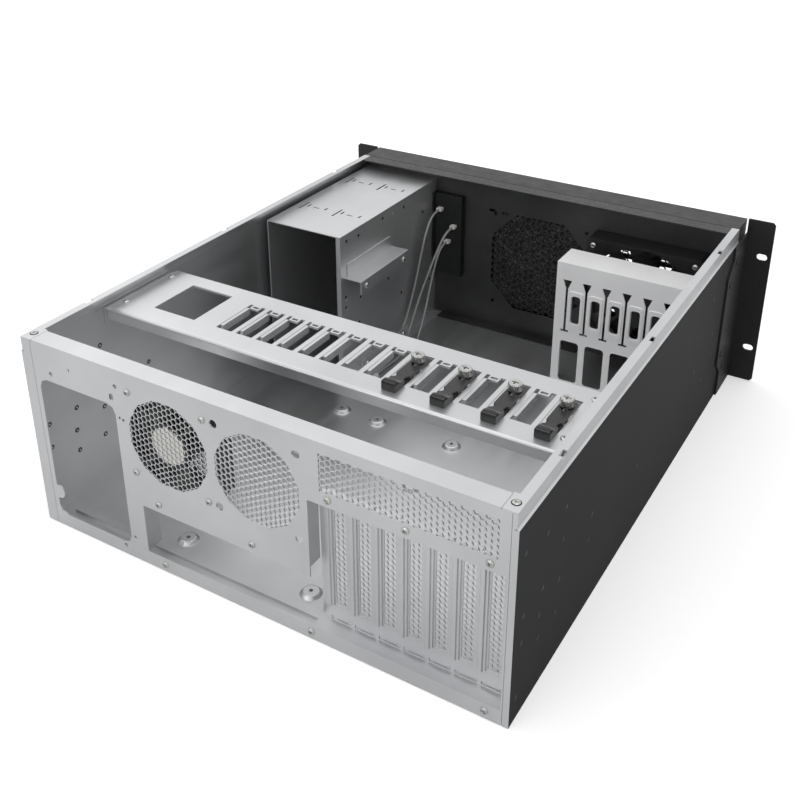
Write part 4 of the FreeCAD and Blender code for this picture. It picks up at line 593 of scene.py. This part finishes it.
def guide_rings():
    """The raised frame round the hole of each spring finger of the card guide.

    Its rings are round-cornered rectangles, each wider or narrower and more or less proud."""
    face = REAR - 418 * MM
    section = ((15.6, 70.5, 111.5, 4, 0), (14.6, 71.2, 110.8, 3.6, 1.3), (10, 75.4, 106.6, 3, 1.3),
               (8.8, 76, 106, 2.5, 0))
    for i in range(SLOT_COUNT - 1):
        x = SLOT_X - SLOT_PITCH * (i + 0.5)
        rings = [np.insert(rounded_rect(x, low, high, width, radius), 1, proud, axis=1) * MM + (0, face, 0)
                 for width, low, high, radius, proud in section]
        # The rings take the guide's lighter copy of the zinc sheet: painted light.
        skin(f"guide_ring_{i + 1}", rings, GUIDE_SHEET_PAINTED_LIGHT)


def shells(mesh):
    """The separate shells of a mesh, each as its lowest and highest corner, the nearest to the origin first.

    Each place takes the lowest number among its neighbours' until no number changes."""
    points = points_of(mesh)
    ends = np.empty(len(mesh.edges) * 2, np.int32)
    mesh.edges.foreach_get("vertices", ends)
    place = np.unique(points.round(6), axis=0, return_inverse=True)[1].reshape(-1)
    a, b = place[ends.reshape(-1, 2)].T
    group, before = np.arange(place.max() + 1), None
    while before is None or (group != before).any():
        before = group.copy()
        np.minimum.at(group, a, group[b])
        np.minimum.at(group, b, group[a])
    found = [points[group[place] == number] for number in np.unique(group)]
    boxes = [(shell.min(axis=0), shell.max(axis=0)) for shell in found]
    return sorted(boxes, key=lambda box: box[0] @ box[0])


def turned(profile, steps=24, knurl=0.0):
    """The rings of a shape turned about Z: r cos t, r sin t, z, from a radius, a height and a mark each.

    With a knurl, every other point of a marked ring lies lower by that share."""
    radius, z, marked = np.array(profile).T[:, :, None]
    turns = 2 * math.pi * np.arange(steps) / steps
    reach = radius * (1 - knurl * marked * (np.arange(steps) % 2))
    return np.stack(np.broadcast_arrays(reach * np.cos(turns), reach * np.sin(turns), z), axis=-1)


def crossed(rings, reach, width, top, depth):
    """A turned shape with a crossed drive sunk in its top, as points and faces.

    The drive is a cross, scaled by 1.2 above the top and by 0.6 at its foot."""
    a, b = reach / 2, width / 2
    plan = np.array([(a, -b), (a, b), (b, b), (b, a), (-b, a), (-b, b),
                     (-a, b), (-a, -b), (-b, -b), (-b, -a), (b, -a), (b, -b)])
    drive = [np.insert(plan * scale, 2, z, axis=1)
             for scale, z in ((0.6, top - depth), (1.2, top + depth / 2))]
    body, tool = solid("turned", *capped(rings)), solid("drive", *capped(drive))
    shape = less(body, tool)
    bpy.data.objects.remove(body)
    return points_of(shape), [tuple(p.vertices) for p in shape.polygons]


def screw_heads():
    """Domed heads with a crossed drive in place of the plain screws, each spun a little further."""
    radius, height, shank = 3 * MM, 1.6 * MM, 1.4 * MM
    profile = [(shank, -2.5 * MM, 0), (shank, -0.01 * MM, 0), (radius, 0, 0),
               (radius * 0.98, height * 0.3, 0), (radius * 0.86, height * 0.66, 0),
               (radius * 0.62, height * 0.9, 0), (radius * 0.3, height, 0)]
    points, faces = crossed(turned(profile), radius * 1.25, radius * 0.26, height, height * 0.7)
    ways = {"panel_screws": (0, 1, 0), "fan_screws": (0, 1, 0), "bar_screws": (0, 0, 1),
            "front_fan_screws": (0, 1, 0), "shelf_screws": (-1, 0, 0), "ear_screws_a": (1, 0, 0),
            "ear_screws_b": (-1, 0, 0)}
    for node, way in ways.items():
        heads = []
        for number, (low, high) in enumerate(shells(NODES[node].data)):
            middle, top = (low + high) / 2, max(low @ way, high @ way)
            seat = middle + np.array(way) * (top - height - middle @ way)
            turn = facing(way) @ np.array(Matrix.Rotation(0.4 + 0.9 * number, 3, "Z"))
            heads.append((points @ turn.T + seat, faces))
        material = FINISHES["black_paint" if node.startswith("ear") else "fasteners"]
        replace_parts(new_piece(f"{node}_heads", *joined(heads), "case", "fasteners", material), node)


def corner_screws():
    """Flat crossed heads in the corner tabs of the rails, each on a dark disc of painted shade for its
    countersink.
    """
    radius, height = 2.7 * MM, 0.8 * MM
    across, back = 208.1 * MM, 9 * MM
    profile = [(radius * 0.9, -0.9 * MM, 0), (radius * 0.9, 0, 0), (radius, 0.1 * MM, 0),
               (radius, 0.4 * MM, 0), (radius * 0.75, height, 0)]
    points, faces = crossed(turned(profile), radius * 1.15, radius * 0.28, height, height * 0.9)
    seats = [(side * across, REAR - back, BODY_TOP) for side in (1, -1)]
    heads = joined([(points + seat, faces) for seat in seats])
    new_piece("corner_screw_heads", *heads, "case", "fasteners")
    # Painted shade: a dark disc round each head, for the shade in its countersink.
    add_dots("corner_sink_shade", [(seat, (0, 0, 1)) for seat in seats], 3.5 * MM, 0.08 * MM, "black_paint")


def thumb_heads():
    """Knurled thumb screws with a crossed drive: turned, with every other point of the grip lower."""
    for number in range(1, 5):
        node = f"thumb_screw_{number}"
        low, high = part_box(node)
        middle = (low + high) / 2
        radius, shank, height = (high.x - low.x) / 2, 1.7 * MM, 6.6 * MM
        seat = high.z - height
        profile = [(shank, low.z - seat, 0), (shank, 0, 0), (radius * 0.9, 0, 0),
                   (radius * 0.995, 0.5 * MM, 1), (radius * 0.995, 5.6 * MM, 1),
                   (radius * 0.88, 6.5 * MM, 0), (radius * 0.7, height, 0)]
        points, faces = crossed(turned(profile, 60, 0.07), radius * 1.05, radius * 0.2, height, 2.2 * MM)
        head = new_piece(f"{node}_head", points + (middle.x, middle.y, seat), faces, node, "fasteners")
        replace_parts(head, node)


def add_dots(name, spots, radius, proud, slot_name):
    """Small domed discs, open below: each spot is a point on a face and the way out of it."""
    profile = [(radius, 0, 0), (radius * 0.85, proud, 0), (radius * 0.4, proud * 0.9, 0)]
    points, faces = capped(turned(profile, 14))
    faces = faces[:-2] + faces[-1:]
    dots = [(points @ facing(way).T + spot, faces) for spot, way in spots]
    new_piece(name, *joined(dots), "case", slot_name)


# Each rivet or dimple by its back and its height, in millimetres.
WALL_RIVETS = [(12, 138), (47, 129), (78, 130), (76, 104), (14, 86), (44, 86), (132, 87), (13, 64),
               (41, 65), (74, 71), (129, 66), (41, 45), (71, 44), (9, 20), (234, 66), (385, 114),
               (385, 78), (417, 52), (442, 68), (439, 92), (427, 133), (460, 147)]
CAGE_DIMPLES = [(318, 158), (340, 156), (386, 158), (429, 156), (315, 98), (315, 86), (333, 124),
                (339, 59), (363, 92), (397, 85), (424, 57), (470, 136), (487, 47), (342, 87)]


def wall_spots(x, way, spots):
    """Points on an upright face at x, each with the way out of it along X."""
    return [((x, REAR - back * MM, z * MM), (way, 0, 0)) for back, z in spots]


def wall_rivets():
    """Flush rivets through both side walls, painted outside; inside, a bright middle on a dark disc of
    painted shade.
    """
    inside = HALF_WIDTH - GAUGE
    outer = [spot for side in (-1, 1) for spot in wall_spots(side * HALF_WIDTH, side, WALL_RIVETS)]
    inner = [spot for side in (-1, 1) for spot in wall_spots(side * inside, -side, WALL_RIVETS)]
    centres = [(np.array(spot) + np.array(way) * 0.36 * MM, way) for spot, way in inner]
    add_dots("rivets_outside", outer, 2.1 * MM, 0.22 * MM, "black_paint")
    # Painted shade: a black disc on the bare wall round each inside rivet, for the shade round its head.
    add_dots("rivet_shade_inside", inner, 2.3 * MM, 0.4 * MM, "black_paint")
    add_dots("rivet_centres", centres, 1.0 * MM, 0.25 * MM, "fasteners")


def cage_dimple_shade():
    """Painted shade in the small dimples on the cage's side that carries the disk shelves: a dark disc in
    each.
    """
    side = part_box("disk_shelf_upper")[1].x
    add_dots("cage_dimple_shade", wall_spots(side, -1, CAGE_DIMPLES), 1.7 * MM, 0.2 * MM, "black_paint")


def hub_label():
    """The plain pale label on the rear fan's motor, in the middle of the fan's screws."""
    low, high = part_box("fan_screws")
    middle = ((low.x + high.x) / 2, REAR - GAUGE, (low.z + high.z) / 2)
    add_dots("hub_label", [(middle, (0, 1, 0))], 16 * MM, 0.08 * MM, "connector_plastic")


def filter_pad():
    """The foam of the dust filter: two faces over a grid (u, v) from -1 to 1, mirrored.

    Each lies half the thickness out, times ((1 - u^12) (1 - v^12))^0.35 for the soft edge, times a
    wave, 1 - 0.025 (1 + sin(9u + 4v) cos(7v - 2u)), for the uneven face."""
    low, high = (np.array(corner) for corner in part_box("dust_filter"))
    count = 28
    u, v = 2 * np.indices((count + 1, count + 1)) / count - 1
    edge = np.clip((1 - u ** 12) * (1 - v ** 12), 0, None) ** 0.35
    wave = 1 - 0.025 * (1 + np.sin(9 * u + 4 * v) * np.cos(7 * v - 2 * u))
    sheets = np.stack([np.stack([u, side * edge * wave, v], axis=-1) for side in (1, -1)]).reshape(-1, 3)
    number = np.arange((count + 1) ** 2).reshape(count + 1, count + 1)
    quads = np.stack([number[:-1, :-1], number[:-1, 1:], number[1:, 1:], number[1:, :-1]], axis=-1)
    quads = quads.reshape(-1, 4)
    faces = quads.tolist() + (quads[:, ::-1] + number.size).tolist()
    pad = new_piece("filter_pad", (low + high) / 2 + sheets * (high - low) / 2, faces, "case", "foam")
    weld(pad.data, 1e-5)
    pad.data.shade_smooth()
    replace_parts(pad, "dust_filter")


def carve(obj, solids):
    """Each closed solid is cut out of the object."""
    for points, faces in solids:
        tool = solid("cutter", points, faces)
        shape = bmesh.new()
        shape.from_mesh(tool.data)
        bmesh.ops.recalc_face_normals(shape, faces=shape.faces)
        shape.to_mesh(tool.data)
        shape.free()
        obj.data = less(obj, tool)


# Outlines on a retainer, in millimetres. The neck is given by the way in from the side and the way
# forward of the heel's end, the hollow by the way forward and the height over the heel's top.
NECK = np.array([(-1, 22), (1.4, 21), (2.2, 19), (2.2, 15), (1, 13.8), (-1, 13.6)])
HOLLOW = np.array([(3, 1), (3.6, -0.9), (5, -2.6), (7.4, -3.9), (11, -4.7), (16, -4.9), (18, -4.9), (18, 1)])


def heel_cuts(node):
    """The neck in front of a retainer's heel, and the hollow that leaves its end as a raised lip."""
    low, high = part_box(node)
    cuts = [prism(2, NECK * (way * MM, -MM) + (edge, high.y), low.z - MM, high.z + MM)
            for edge, way in ((low.x, 1), (high.x, -1))]
    return cuts + [prism(0, HOLLOW * (-MM, MM) + (high.y, high.z), low.x - MM, high.x + MM)]


def softened(node, width, segments=2, cuts=()):
    """A copy of a CAD node with small rounded edges that catch the light; it replaces the node."""
    copy = linked(f"{node}_soft", NODES[node].data.copy())
    weld(copy.data, 1e-6, flat=True)
    carve(copy, cuts)
    modifier = copy.modifiers.new("edges", "BEVEL")
    modifier.width = width
    modifier.segments = segments
    modifier.limit_method = "ANGLE"
    modifier.angle_limit = math.radians(35)
    result = evaluated(copy)
    copy.modifiers.clear()
    copy.data = result
    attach(copy, node if node in MOVING else "case")
    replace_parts(copy, node)


slot_ribs()
board_embosses()
guide_rings()
screw_heads()
corner_screws()
thumb_heads()
wall_rivets()
cage_dimple_shade()
hub_label()
filter_pad()
for number in range(1, 5):
    softened(f"retainer_{number}", 0.5 * MM, 3, heel_cuts(f"retainer_{number}"))
EDGES = {"crossbar": 0.3, "drive_cage": 0.25, "disk_shelf_upper": 0.25, "disk_shelf_lower": 0.25,
         "rack_ear_a": 0.4, "rack_ear_b": 0.4, "bay_cover_1": 0.5, "bay_cover_2": 0.5,
         "power_button": 0.6, "reset_button": 0.5, "rear_fan_frame": 0.4, "front_fan_frame": 0.5}
for soft_node, edge in EDGES.items():
    softened(soft_node, edge * MM)


# ---------------------------------------------------------------- leads
# Each point by its X, its distance behind the front wall and its height, in millimetres.
LEADS = {
    "lead_a": [(109, 12, 134), (109, 26, 134), (110, 40, 114), (112, 48, 84), (114, 57, 52), (114, 75, 22),
               (112, 98, 7), (109, 121, 4.2), (112, 145, 4), (112, 161, 4)],
    "lead_b": [(92, 12, 116), (92, 25, 116), (96, 38, 97), (102, 48, 70), (107, 59, 43), (106, 78, 18),
               (102, 99, 6), (95, 121, 3.6), (98, 147, 3.4), (98, 163, 3.4)],
    "lead_c": [(99, 12, 97), (99, 23, 97), (100, 35, 79), (100, 46, 54), (98, 60, 30), (94, 81, 12),
               (88, 102, 4.4), (81, 126, 3.4), (84, 150, 3.2), (84, 166, 3.2)],
}
LEAD_R = 1.2 * MM


def add_lead(name, route):
    """A thin lead along its route: one smooth spline with a round section."""
    points = (np.array(route) * MM + (0, REAR - WALL_BACK * MM, 0)).tolist()
    curve = bpy.data.curves.new(f"{name}_wire", "CURVE")
    curve.dimensions = "3D"
    curve.bevel_depth = LEAD_R
    curve.bevel_resolution = 4
    curve.resolution_u = 12
    spline = curve.splines.new("NURBS")
    spline.points.add(len(points) - 1)
    spline.points.foreach_set("co", np.insert(points, 3, 1, axis=1).ravel())
    spline.order_u = 3
    spline.use_endpoint_u = True
    curve.materials.append(FINISHES["lead_sleeve"])
    obj = linked(f"{name}_wire", curve)
    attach(obj, "case")
    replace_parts(obj, name)


for lead_name, lead_route in LEADS.items():
    add_lead(lead_name, lead_route)


# ---------------------------------------------------------------- studio
FLOOR_HALF, FLOOR_Z, FLOOR_GLOW = 6, -0.0005, 0.4
AIM = Vector((0, 0, 0.08))
LAMPS = {"key": ((-0.3, 0.2, 2.3), 1.8, 8), "fill": ((1.4, -0.6, 1.8), 1.6, 5),
         "rear": ((0.7, 2.3, 1.2), 1.6, 9)}


def add_floor():
    """A white floor that keeps the part's shadow; the glow is for the camera alone."""
    m = Finish("floor", "f4f4f4", 0.9)
    glow = {0: m.add("ShaderNodeLightPath", output="Is Camera Ray"), 1: FLOOR_GLOW}
    m.give({"Base Color": m.drift("f6f6f6", "f2f2f2", 500, 2), "Emission Color": linear("ffffff"),
            "Emission Strength": m.add("ShaderNodeMath", glow, operation="MULTIPLY")})
    corners = [(a * FLOOR_HALF, b * FLOOR_HALF, FLOOR_Z) for a, b in ((-1, -1), (1, -1), (1, 1), (-1, 1))]
    floor = solid("floor", corners, [(0, 1, 2, 3)])
    floor.data.materials.append(m.material)


def add_lamps():
    """Soft lamps, each by its place, size and power, aimed at the part's middle."""
    for name, (at, size, power) in LAMPS.items():
        data = bpy.data.lights.new(name, "AREA")
        data.size = size
        data.energy = power
        lamp = linked(name, data)
        lamp.location = at
        lamp.rotation_euler = (AIM - Vector(at)).to_track_quat("-Z", "Y").to_euler()


def add_world():
    """A plain pale surround; the camera, gloss and clear pieces see it white."""
    world = bpy.data.worlds.new("surround")
    world.use_nodes = True
    tree = world.node_tree
    rays = add(tree, "ShaderNodeLightPath").node.outputs
    bright = rays["Is Camera Ray"]
    for kind in ("Is Glossy Ray", "Is Transmission Ray"):
        bright = add(tree, "ShaderNodeMath", {0: bright, 1: rays[kind]}, operation="MAXIMUM")
    lit = tree.nodes["Background"]
    feed(lit, {"Color": linear("f2f2f2"), "Strength": 0.75})
    white = add(tree, "ShaderNodeBackground", {"Color": linear("ffffff"), "Strength": 1.0})
    surround = add(tree, "ShaderNodeMixShader", {0: bright, 1: lit.outputs[0], 2: white})
    feed(tree.nodes["World Output"], {"Surface": surround})
    bpy.context.scene.world = world


add_floor()
add_lamps()
add_world()
bpy.context.scene.view_settings.view_transform = "Standard"
